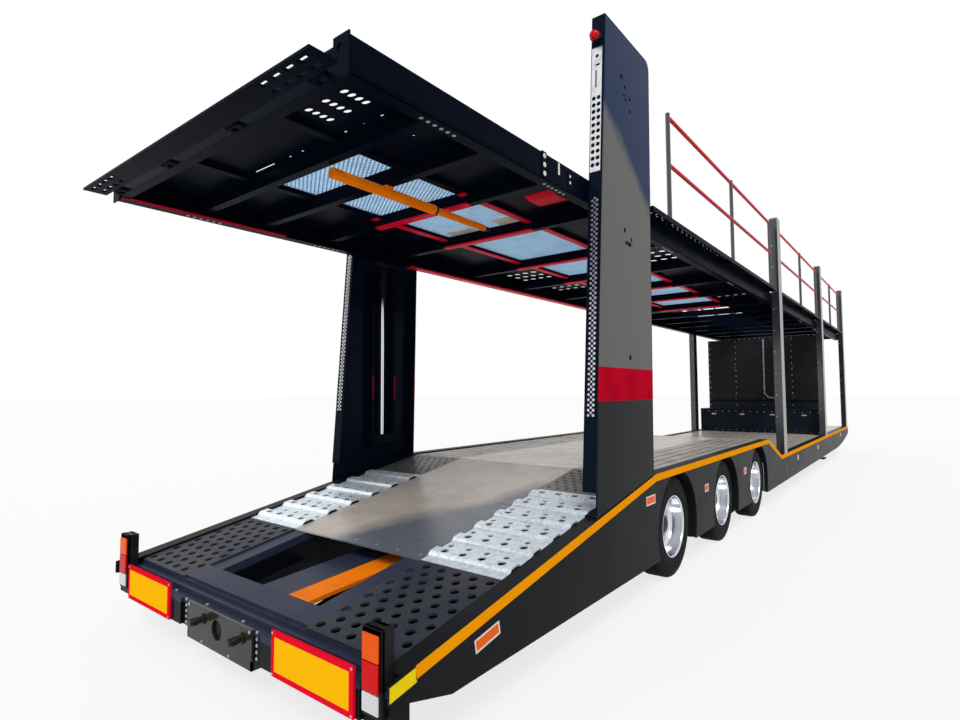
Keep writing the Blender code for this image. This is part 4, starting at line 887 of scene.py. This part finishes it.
# across, height and radius of the three columns of beads
BEADS = ((1.238, 2.0, 0.0062), (1.222, 2.016, 0.005), (1.205, 2.0, 0.0056))
BAND_Z = (1.4, 1.615)
GUIDE_X = (1.185, 1.262)
GUIDE_Z = (0.95, 3.7)
FOOT_S = (2.062, 2.338)
ROD_Z = (1.068, 2.45)
RACK_X = (1.182, 1.256)
RACK_Z = (2.88, 3.74)
RACK_HOLES_X = (1.2015, 1.2365)
RACK_HOLE_R = 0.0145
RACK_PITCH = 0.046
TOWER_LAMP = (1.222, 1.862, 3.8)
RACK_CUT_S = (1.5, 2.1)
# profiles along the lamp's axis and out from it
LAMP_FOOT = ((-0.004, 0.0), (-0.004, 0.036), (0.012, 0.036), (0.016, 0.03), (0.016, 0.0))
LAMP_DOME = ((0.014, 0.0), (0.014, 0.032), (0.026, 0.031), (0.038, 0.026), (0.045, 0.016), (0.048, 0.0))
# station and height of the web's holes, with their radius
WEB_HOLES = ((2.15, 3.64, 0.017), (2.205, 3.585, 0.013), (2.19, 3.52, 0.011), (2.215, 3.498, 0.011),
             (2.285, 3.53, 0.013), (2.285, 3.44, 0.013), (2.16, 2.56, 0.016), (2.27, 2.515, 0.014),
             (2.21, 1.69, 0.018))


def tower_edges(z):
    """Rear and front edges of a tower at height z."""
    t = (z - TOWER_Z[0]) / (TOWER_Z[1] - TOWER_Z[0])
    return [low + (high - low) * t for low, high in zip(TOWER_BASE_S, TOWER_TOP_S)]


def tower_side():
    corners = [(s, rave_z(s) + TOWER_SEAT) for s in TOWER_BASE_S]
    for n in range(6):
        turn = math.pi / 2 * n / 5
        corners.append((tower_edges(3.9)[1] - 0.06 + 0.06 * math.cos(turn), 3.895 + 0.072 * math.sin(turn)))
    return corners + [(TOWER_TOP_S[0], TOWER_Z[1] - 0.001)]


def flange(edge, inward, low, high, x0, x1):
    a, b = tower_edges(low)[edge], tower_edges(high)[edge]
    return prism(((a, low), (a + inward, low), (b + inward, high), (b, high)), x0, x1)


def band(low, high):
    rear_low, front_low = tower_edges(low)
    rear_high, front_high = tower_edges(high)
    return ((rear_low, low), (front_low, low), (front_high, high), (rear_high, high))


for tag, side in SIDES:
    web_x = across(side, TOWER_X[1] - TOWER_T, TOWER_X[1])
    deep = across(side, *TOWER_X)
    # The service holes stop short of the web's inner face; their navy-black bottoms are painted shade where
    # the holes would open into the dark channel.
    holes = [rod((side * 1.2622, side * 1.3), s, z, r, 16) for s, z, r in WEB_HOLES]
    holes.append(block(across(side, 1.2622, 1.3), (2.165, 2.262), (2.462, 2.49)))
    low = rave_z(TOWER_BASE_S[1]) + TOWER_SEAT
    rack_holes = [rod(side * x, RACK_CUT_S, RACK_Z[0] + 0.045 + RACK_PITCH * n, RACK_HOLE_R, 12)
                  for n in range(11) for x in RACK_HOLES_X]
    rack_holes += [block(across(side, 1.21, 1.22), RACK_CUT_S, (3.46, 3.58)),
                   block(across(side, 1.21, 1.24), RACK_CUT_S, (3.61, 3.624)),
                   rod(side * 1.22, RACK_CUT_S, 3.68, 0.012, 12)]
    shell = [carved(prism(tower_side(), *web_x), holes),
             flange(0, TOWER_T, low, TOWER_Z[1] - 0.002, *deep),
             flange(1, -TOWER_T, low, 3.9, *deep),
             block(deep, (TOWER_TOP_S[0] + 0.004, TOWER_TOP_S[1] - 0.06), (3.957, 3.967)),
             ribbon(1.7, 2.565, -0.01, *deep, lower=-TOWER_SEAT)]
    shell += [block(across(side, *GUIDE_X), (s, s + 0.01), GUIDE_Z) for s in GUIDES_S]
    shell += [block(across(side, LIFT_X - 0.036, LIFT_X + 0.036), FOOT_S, (0.98, 1.07)),
              block(across(side, 1.195, 1.262), FOOT_S, (0.97, 0.984))]
    piece("tower_" + tag, tower_navy, shell, replaces=("rear_tower_" + tag,),
          bevel=0.0015)
    # Painted sunlight: the rack strip is bright zinc only above the upper deck, where the sun falls on it;
    # lower down the flange's shaded part stays navy-black.
    strip = flange(0, -0.003, *RACK_Z, *across(side, *RACK_X))
    piece("rack_strip_" + tag, rack_zinc, [carved(strip, rack_holes)])
    beads = [bolts(1, 44, 0.0, 0.032, lie(side * x, tower_edges(z)[0] - 0.001, z, BACKWARDS - TOWER_LEAN),
        r, 0.004) for x, z, r in BEADS]
    piece("rack_beads_" + tag, rack_zinc, beads)
    edge_bands = [block(across(side, 1.1838, 1.1862), (s - 0.0008, s + 0.0108), BAND_Z) for s in GUIDES_S]
    edge_bands.append(flange(1, -TOWER_T - 0.0008, 1.4, 1.6,
        *across(side, TOWER_X[0] - 0.0008, TOWER_X[0] + 0.004)))
    piece("guide_bands_" + tag, band_red, edge_bands)
    piece("tower_band_" + tag, band_red,
          [prism(band(*BAND_Z), *across(side, TOWER_X[1] - 0.001, TOWER_X[1] + 0.0006))])
    piece("lift_rod_" + tag, chrome,
          [rod(side * LIFT_X, LIFT_S, ROD_Z, 0.02, 32)])
    lamp_place = lie(side * TOWER_LAMP[0], *TOWER_LAMP[1:], BACKWARDS) @ Matrix.Rotation(
        -math.pi / 2, 4, "Y")
    piece("tower_lamp_foot_" + tag, housing_black,
          [turned(LAMP_FOOT, 28, lamp_place)])
    piece("tower_lamp_" + tag, lens_red,
          [turned(LAMP_DOME, 28, lamp_place)])
    row_place = lie(side * 1.215, 2.13, 0.5) @ Matrix.Rotation(math.pi / 2, 4, "Z")
    piece("tower_bolts_" + tag, bolt_zinc, [bolts(6, 1, 0.145, 0.0, row_place, 0.007, 0.006)])
repaint(("lift_carriage",), chassis_black)


# Front posts. Square rolled tubes in a glossy blue-grey black, with small bolts up their rear
# faces and larger ones outside, where the decks and the flange are held.

POSTS_S = (7.3, 11.3, 14.8)
HINGE_Z = 2.765             # the upper decks turn about it
post_paint = Finish("blue-grey black post paint", (0.014, 0.017, 0.024), specular=0.9).weather(
    (0.026, 0.03, 0.038), 2.6, 0.7, (0.08, 0.24), 0.0002)
repaint(("mid_post", "front_post", "nose_post"), post_paint)
for tag, side in SIDES:
    pins = []
    for s in POSTS_S:
        outer = side * 1.271
        pins += [bolts(1, 9, 0.0, 0.3, lie(side * 1.2, s - 0.0008, 2.3, BACKWARDS), 0.005, 0.004),
                 bolts(2, 4, 0.07, 0.06, facing(side, outer, s + 0.1, HINGE_Z), 0.008, 0.005),
                 bolts(2, 2, 0.06, 0.12, facing(side, outer, s + 0.1, rave_z(s) + 0.12), 0.008, 0.005)]
    piece("post_bolts_" + tag, bolt_zinc, pins)


# Upper decks. Channel side beams joined by cross-members carry two steel tracks, punched here and
# there; the rear deck has an expanded-metal floor in its middle bay and an orange cylinder below.

BEAM_Z = (2.69, 2.84)
BEAM_X = (1.085, 1.165)
BEAM_T = 0.012
UPPER_TRACK_X = (0.46, 1.16)
TRACK_Z = 2.83
CROSS_Z = (2.73, 2.822)
CROSS_W = 0.06
INNER_BEAM_X = (0.41, 0.462)
CUT_Z = (2.8, 2.85)           # cutters reach through the tracks
SLOTS_S = (0.376, 0.394)
CYLINDER_X = 0.275
CYLINDER_Z = 2.694
REAR_CROSS_S = (-0.11, 0.41, 0.86, 1.45, 2.24, 3.37, 4.37, 5.37, 6.37, 7.4)
DECKS = (("rear", "rear_deck", -0.11, 7.46, 7.4), ("front", "front_deck", 7.5, 14.98, 14.9))
MESH_S = (0.475, 7.456)
MESH_HALF = 0.4097
FLAP_PIVOT = (-0.14, 2.712)
FLAP_S = (-0.285, -0.158)
FLAP_ARMS_X = (-1.0005, -0.345, 0.345, 1.0005)
FLAP_SLOTS_X = (-1.07, -0.98, -0.89, -0.8, 0.8, 0.89, 0.98, 1.07)
# deck, side, from and to station, columns, pairs of rows, pitch across and along, hole's width and
# length, and how far the holes lie off the track's middle
PUNCHED = (("rear", 1, 0.09, 0.29, 3, 2, 0.135, 0.084, 0.058, 0.034, -0.115),
           ("rear", -1, 0.18, 0.34, 3, 1, 0.07, 0.11, 0.024, 0.024, 0.11),
           ("rear", -1, 3.85, 5.25, 5, 4, 0.11, 0.34, 0.085, 0.085, -0.07),
           ("rear", 1, 3.65, 4.75, 5, 3, 0.11, 0.34, 0.085, 0.085, 0.06),
           ("rear", -1, 6.5, 7.2, 5, 2, 0.11, 0.34, 0.085, 0.085, -0.06),
           ("rear", 1, 6.5, 7.2, 5, 2, 0.11, 0.34, 0.085, 0.085, -0.06),
           ("front", -1, 10.5, 12.8, 5, 6, 0.11, 0.38, 0.085, 0.095, 0.0),
           ("front", 1, 10.5, 12.8, 5, 6, 0.11, 0.38, 0.085, 0.095, 0.0))
# across, along and height of the small plates on the side beams of the rear deck
BEAM_PLATES = (((1.164, 1.168), (-0.105, 1.12), (2.7, 2.778)),
               ((1.164, 1.17), (1.262, 1.316), (2.694, 2.846)),
               ((1.164, 1.168), (1.56, 1.68), (2.7, 2.836)))
# x and s, from and to, of the pale tread plates in the mesh
TREADS = (((-0.33, -0.08), (2.13, 2.232)), ((0.18, 0.405), (2.08, 2.232)),
          ((-0.3, -0.13), (2.308, 2.44)), ((0.11, 0.405), (2.308, 2.48)),
          ((0.02, 0.39), (4.3, 4.364)), ((-0.39, -0.03), (3.438, 3.52)))
# x from and to of the narrow slots behind the first cross-member, and spots of single holes
REAR_SLOTS_X = ((-0.36, -0.14), (0.0, 0.03), (0.12, 0.15), (0.35, 0.38), (0.5, 0.53),
                (0.64, 0.67), (0.78, 0.81))
SINGLE_HOLES = ((-0.831, 0.414), (-0.824, 0.617), (-0.799, 0.734), (-0.66, 0.724), (-0.779, 0.938),
                (-0.78, 1.009), (0.76, 0.64), (0.64, 0.98), (0.9, 1.18))

upper_black = Finish("upper deck paint", (0.0018, 0.0034, 0.0095), specular=0.008).weather(
    (0.003, 0.0045, 0.01), 2.4, 0.7, (0.22, 0.42), 0.0002)
trim_red = Finish("red paint on the frame's edges", (0.76, 0.005, 0.03), specular=0.02).weather(
    (0.55, 0.006, 0.024), 5.0, 0.5, (0.26, 0.42), 0.0002)
mesh_zinc = Finish("expanded metal", (0.5, 0.76, 0.98)).weather(
    (0.34, 0.54, 0.84), 6.0, 0.6, (0.36, 0.5), 0.0002)
tread_cream = Finish("pale tread plates", (0.74, 0.67, 0.52)).weather(
    (0.52, 0.45, 0.33), 16.0, 0.7, (0.35, 0.55))


def cross_stations(s0, s1):
    count = max(2, round((s1 - s0) / 0.86))
    return [s0 + (s1 - CROSS_W - s0) * n / count for n in range(count + 1)]


def slot_cuts(outside):
    """Cutters of the slots that lie outside the mesh floor's bay, or of those that lie within it."""
    return [block(span, SLOTS_S, CUT_Z) for span in REAR_SLOTS_X
            if (span[0] > UPPER_TRACK_X[0]) == outside]


def deck_track(label, side, s0, s1):
    """One track: plain plates, with punched ones let in between them."""
    middle_x = side * (UPPER_TRACK_X[0] + UPPER_TRACK_X[1]) / 2
    width = UPPER_TRACK_X[1] - UPPER_TRACK_X[0]
    span = across(side, *UPPER_TRACK_X)
    level = (TRACK_Z - PLATE_T, TRACK_Z)
    plates = []
    plain_from = s0 + 0.002
    for deck, at_side, low, high, columns, rows, across_pitch, along, hole_w, hole_l, aside in PUNCHED:
        if (deck, at_side) == (label, side):
            plates.append(block(span, (plain_from, low), level))
            place = lie(middle_x, (low + high) / 2, TRACK_Z)
            plates.append(punched(width, high - low, PLATE_T, upper_black, place, columns, rows,
                                  across_pitch, along, hole_w, hole_l, 8, aside=side * aside))
            plain_from = high
    plates.append(block(span, (plain_from, s1 - 0.002), level))
    if label == "rear":
        cuts = slot_cuts(outside=True)
        cuts += [rod(x, s, CUT_Z, 0.012, 12) for x, s in SINGLE_HOLES]
        plates = [carved(plate, cuts) for plate in plates]
    return plates


for label, body, s0, s1, hinge_s in DECKS:
    crosses = REAR_CROSS_S if label == "rear" else cross_stations(s0, s1)
    frame_parts = []
    red_parts = []
    for _, side in SIDES:
        frame_parts += [block(across(side, BEAM_X[1] - BEAM_T, BEAM_X[1]), (s0, s1), BEAM_Z)]
        frame_parts += [block(across(side, BEAM_X[0], BEAM_X[1] - 0.001), (s0, s1), z)
                        for z in ((BEAM_Z[0], BEAM_Z[0] + BEAM_T), (BEAM_Z[1] - BEAM_T, BEAM_Z[1]))]
        frame_parts += [block(across(side, *INNER_BEAM_X), (s0 + 0.002, s1 - 0.002), (2.79, TRACK_Z)),
                        rod((side * 1.15, side * 1.1747), hinge_s, HINGE_Z, 0.05, 32)]
        frame_parts += deck_track(label, side, s0, s1)
    for s in crosses:
        low = 2.698 if s == crosses[0] and label == "rear" else CROSS_Z[0]
        frame_parts.append(block((-1.155, 1.155), (s, s + CROSS_W), (low, CROSS_Z[1])))
    if label == "rear":
        bay = block((-0.458, 0.458), (s0 + 0.002, 0.471), (TRACK_Z - PLATE_T, TRACK_Z))
        frame_parts.append(carved(bay, slot_cuts(outside=False)))
        for _, side in SIDES:
            end = block(across(side, 1.066, 1.165), (s0 - 0.006, s0 + 0.002), (2.672, 2.856))
            frame_parts += [carved(end, [rod(side * 1.108, (s0 - 0.1, s0 + 0.1), 2.805, 0.018, 16)]),
                            rod((side * 1.15, side * 1.1807), LIFT_S, HINGE_Z, 0.04, 28)]
            frame_parts += [block(across(side, *x), s, z) for x, s, z in BEAM_PLATES]
            red_parts.append(block(across(side, 0.409, 0.463), (1.4, s1 - 0.02), (2.7885, 2.798)))
        for x in FLAP_ARMS_X:
            for near in (x - 0.05, x + 0.0253):
                arm = (near, near + 0.0247)
                frame_parts += [block(arm, (FLAP_PIVOT[0], s0 + 0.002), (2.7, 2.724)),
                                rod(arm, *FLAP_PIVOT, 0.012, 16)]
        for s in crosses[3:]:
            red_parts.append(block((-0.46, 0.46), (s - 0.0006, s + 0.0606), (2.7285, 2.742)))
        red_parts += [block((-1.088, -1.084), (-0.1, 1.07), (2.69, 2.704)),
                      block((-1.1655, -1.084), (2.45, s1 - 0.02), (2.6885, 2.704)),
                      prism(((1.78, 2.8185), (1.84, 2.8), (1.98, 2.8), (2.04, 2.8185)), 0.7, 0.92)]
    piece(label + "_deck_body", upper_black, frame_parts, replaces=(label + "_deck_frame",),
          bevel=0.0015, body=body)
    if red_parts:
        piece(label + "_deck_red_edges", trim_red, red_parts, body=body)
    under = [lie(side * 1.118, s + 0.03, BEAM_Z[0] - 0.001) @ Matrix.Rotation(math.pi, 4, "Y")
             for _, side in SIDES for s in crosses[1:-1:2]]
    piece(label + "_deck_bolts", bolt_zinc,
          [bolts(1, 6, 0.0, 0.045, place, 0.007, 0.005) for place in under], body=body)

marks = []
for _, side in SIDES:
    marks += [bolts(3, 1, 0.052, 0.0, facing(side, side * 1.1712, 1.289, 2.768), 0.01, 0.005),
              bolts(2, 1, 0.04, 0.0, facing(side, side * 1.1692, 1.59, 2.768), 0.006, 0.004),
              block(across(side, 1.1645, 1.1665), (1.451, 1.469), (2.76, 2.832))]
piece("beam_marks", marker_white, marks, body="rear_deck")

treads = []
for (x0, x1), (low, high) in TREADS:
    treads.append(block((x0, x1), (low, high), (2.816, 2.8215)))
    for n in range(3):
        s = low + (high - low) * (n + 0.5) / 3
        treads.append(block((x0 + 0.02, x1 - 0.02), (s - 0.006, s + 0.006), (2.8148, 2.817)))
piece("tread_plates", tread_cream, treads, bevel=0.001, body="rear_deck")

expanded = Recipe("expanded metal", columns="Int", rows="Int", pitch_x="Float", pitch_y="Float",
                  strand="Float", finish="Material")
long_side = ((expanded.pitch_x ** 2.0 + expanded.pitch_y ** 2.0) ** 0.5) * 1.04
links = []
for sign in (-1.0, 1.0):
    slant = expanded.pitch_y.maths("ARCTAN2", expanded.pitch_y * sign, expanded.pitch_x)
    strand_bar = expanded.geometry("MeshCube", Size=expanded.vector(
        long_side, expanded.strand, expanded.strand))
    links.append(expanded.geometry("InstanceOnPoints", Points=expanded.grid(), Instance=strand_bar,
                                   Rotation=expanded.vector(0.0, 0.0, slant)))
expanded.ends(expanded.geometry("JoinGeometry", Geometry=links))

mesh_middle = (MESH_S[0] + MESH_S[1]) / 2
floor_mesh = expanded.made(place=lie(0, mesh_middle, 2.8266), columns=18, rows=230, pitch_x=0.045,
                           pitch_y=0.03, strand=0.008, finish=mesh_zinc)
edges = [block(across(side, MESH_HALF - 0.012, MESH_HALF), MESH_S, (2.8226, 2.8262)) for _, side in SIDES]
piece("mesh_floor", mesh_zinc, [floor_mesh] + edges, replaces=("rear_deck_mesh",),
      body="rear_deck")

repaint(("deck_cylinder",), orange_paint)
piece("cylinder_ends", chassis_black,
      [rod(CYLINDER_X, (1.318, 1.342), CYLINDER_Z, 0.029, 28),
       rod(CYLINDER_X, (1.868, 1.93), CYLINDER_Z, 0.017)],
      bevel=0.002, body="rear_deck")

flap_slots = [block((x - 0.028, x + 0.028), (s - 0.011, s + 0.011), (2.6, 2.8))
              for x in FLAP_SLOTS_X for s in (-0.25, -0.195)]
flap_parts = [carved(block((-1.15, 1.15), FLAP_S, (2.705, 2.719)), flap_slots),
              rod((-1.15, 1.15), FLAP_S[0] + 0.008, FLAP_PIVOT[1], 0.0075, 16)]
for x in FLAP_ARMS_X:
    arm = (x - 0.0247, x + 0.0247)
    flap_parts += [block(arm, (FLAP_S[1] - 0.002, FLAP_PIVOT[0]), (2.706, 2.718)),
                   rod(arm, *FLAP_PIVOT, 0.012, 16)]
piece("flap_plate", upper_black, flap_parts, replaces=("rear_flap",), bevel=0.001,
      body="rear_flap")


# Walkways and railings. A folded walkway with drain holes runs outside each upper deck; round
# steel posts on it carry two red hand rails.

RAIL_X = 1.218
RAILS_Z = (3.36, 3.77)
POST_TOP_Z = 3.8
WALK_X = (1.1655, 1.27)
WALK_MIDDLE_X = 1.2173
WALK_TOP_Z = 2.87
RAILINGS = (("rear", "rear_deck", 2.69, 7.16, (3.19, 5.15, 7.06)),
            ("mid", "front_deck", 7.56, 11.2, (7.72, 9.42, 11.08)),
            ("front", "front_deck", 11.56, 14.62, (11.72, 13.1, 14.48)))
rail_red = Finish("red rail paint", (0.62, 0.008, 0.026)).weather(
    (0.5, 0.008, 0.022), 7.0, 0.5, (0.22, 0.38), 0.0002)

for label, body, s0, s1, stations in RAILINGS:
    for tag, side in SIDES:
        middle = (s0 + s1) / 2
        walk = [punched(0.104, s1 - s0, 0.004, upper_black, lie(side * WALK_MIDDLE_X, middle, WALK_TOP_Z),
            2, int((s1 - s0) / 0.12), 0.036, 0.12, 0.022, 0.022, 8, 0.018)]
        for x0, x1 in ((WALK_X[0], 1.169), (1.266, WALK_X[1])):
            walk.append(block(across(side, x0, x1), (s0, s1), (2.828, 2.868)))
        for s in (s0, middle - 0.002, s1 - 0.004):
            walk.append(block(across(side, 1.168, 1.267), (s, s + 0.004), (2.829, 2.867)))
        piece("walkway_%s_%s" % (label, tag), upper_black, walk, body=body)
        x = side * RAIL_X
        posts = [rod(x, s, (2.868, POST_TOP_Z), 0.019, 20) for s in stations]
        posts += [block((x - 0.034, x + 0.034), (s - 0.034, s + 0.034), (2.869, 2.877)) for s in stations]
        piece("railing_posts_%s_%s" % (label, tag), post_paint, posts, body=body)
        rails = [rod(x, (stations[0], stations[-1]), z, 0.0165, 20) for z in RAILS_Z]
        piece("hand_rails_%s_%s" % (label, tag), rail_red, rails,
            replaces=("%s_railing_%s" % (label, tag),), body=body)


# Studio. A wide pale floor under an even white sky, with one large soft lamp from the right of
# the camera and a weaker one from the left; the camera stands where the photograph was taken.

FLOOR_GLOW = 0.78           # share of the floor's own light, as the camera and reflections see it
SKY_SHADE = 0.55            # the sky's strength for all other rays
SUNS = (("key", 1.7, 25.0, (-0.45, 0.62, -0.8)), ("fill", 0.5, 60.0, (0.8, 0.4, -0.45)))

floor_finish = Finish("studio floor", (0.86, 0.86, 0.86), 0.9, specular=0.1)
floor_mesh_data = bmesh.new()
bmesh.ops.create_grid(floor_mesh_data, x_segments=1, y_segments=1, size=150.0)
floor = as_object("studio_floor", floor_mesh_data)
floor.location.z = -0.001
floor.data.materials.append(floor_finish.material)
rays = floor_finish.node("ShaderNodeLightPath", output="Is Camera Ray")
mirrored = Wire(floor_finish, rays.socket.node.outputs["Is Glossy Ray"])
glow = floor_finish.node("ShaderNodeEmission", values={"Strength": 1.0})
shaded = Wire(floor_finish, floor_finish.shader.outputs[0])
shown = floor_finish.node("ShaderNodeMixShader", values={
    0: rays.maths("MAXIMUM", rays, mirrored) * FLOOR_GLOW, 1: shaded, 2: glow})
floor_finish.tree.links.new(shown.socket, floor_finish.tree.nodes["Material Output"].inputs["Surface"])

world = bpy.data.worlds.new("studio_sky")
bpy.context.scene.world = world
world.use_nodes = True
sky = Graph(world.node_tree)
rays = sky.node("ShaderNodeLightPath", output="Is Camera Ray")
glossy = Wire(sky, rays.socket.node.outputs["Is Glossy Ray"])
through = Wire(sky, rays.socket.node.outputs["Is Transmission Ray"])
seen = rays.maths("MAXIMUM", rays, glossy.maths("MAXIMUM", glossy, through))
background = world.node_tree.nodes["Background"]
background.inputs["Color"].default_value = (1.0, 1.0, 1.0, 1.0)
world.node_tree.links.new((SKY_SHADE + seen * (1.0 - SKY_SHADE)).socket, background.inputs["Strength"])

for name, strength, spread, direction in SUNS:
    lamp = bpy.data.lights.new(name, "SUN")
    lamp.energy = strength
    lamp.angle = math.radians(spread)
    holder = bpy.data.objects.new(name, lamp)
    holder.rotation_euler = Vector(direction).to_track_quat("-Z", "Y").to_euler()
    bpy.context.scene.collection.objects.link(holder)

CAMERA_AT = (2.8559, -1.4611, 1.4614)       # x, station, height
CAMERA_YAW = 38.232
CAMERA_PITCH = 3.222
CAMERA_ROLL = -0.287
CAMERA_LENS = 21.29
camera = bpy.data.objects.new("camera", bpy.data.cameras.new("camera"))
camera.data.lens = CAMERA_LENS
camera.data.sensor_width = 36.0
camera.data.clip_end = 400.0
turn = Matrix.Identity(4)
for degrees, axis in ((CAMERA_YAW, "Z"), (90 + CAMERA_PITCH, "X"), (CAMERA_ROLL, "Z")):
    turn = turn @ Matrix.Rotation(math.radians(degrees), 4, axis)
camera.matrix_world = Matrix.Translation((CAMERA_AT[0], fwd(CAMERA_AT[1]), CAMERA_AT[2])) @ turn
bpy.context.scene.collection.objects.link(camera)
bpy.context.scene.camera = camera
bpy.context.scene.view_settings.view_transform = "Standard"
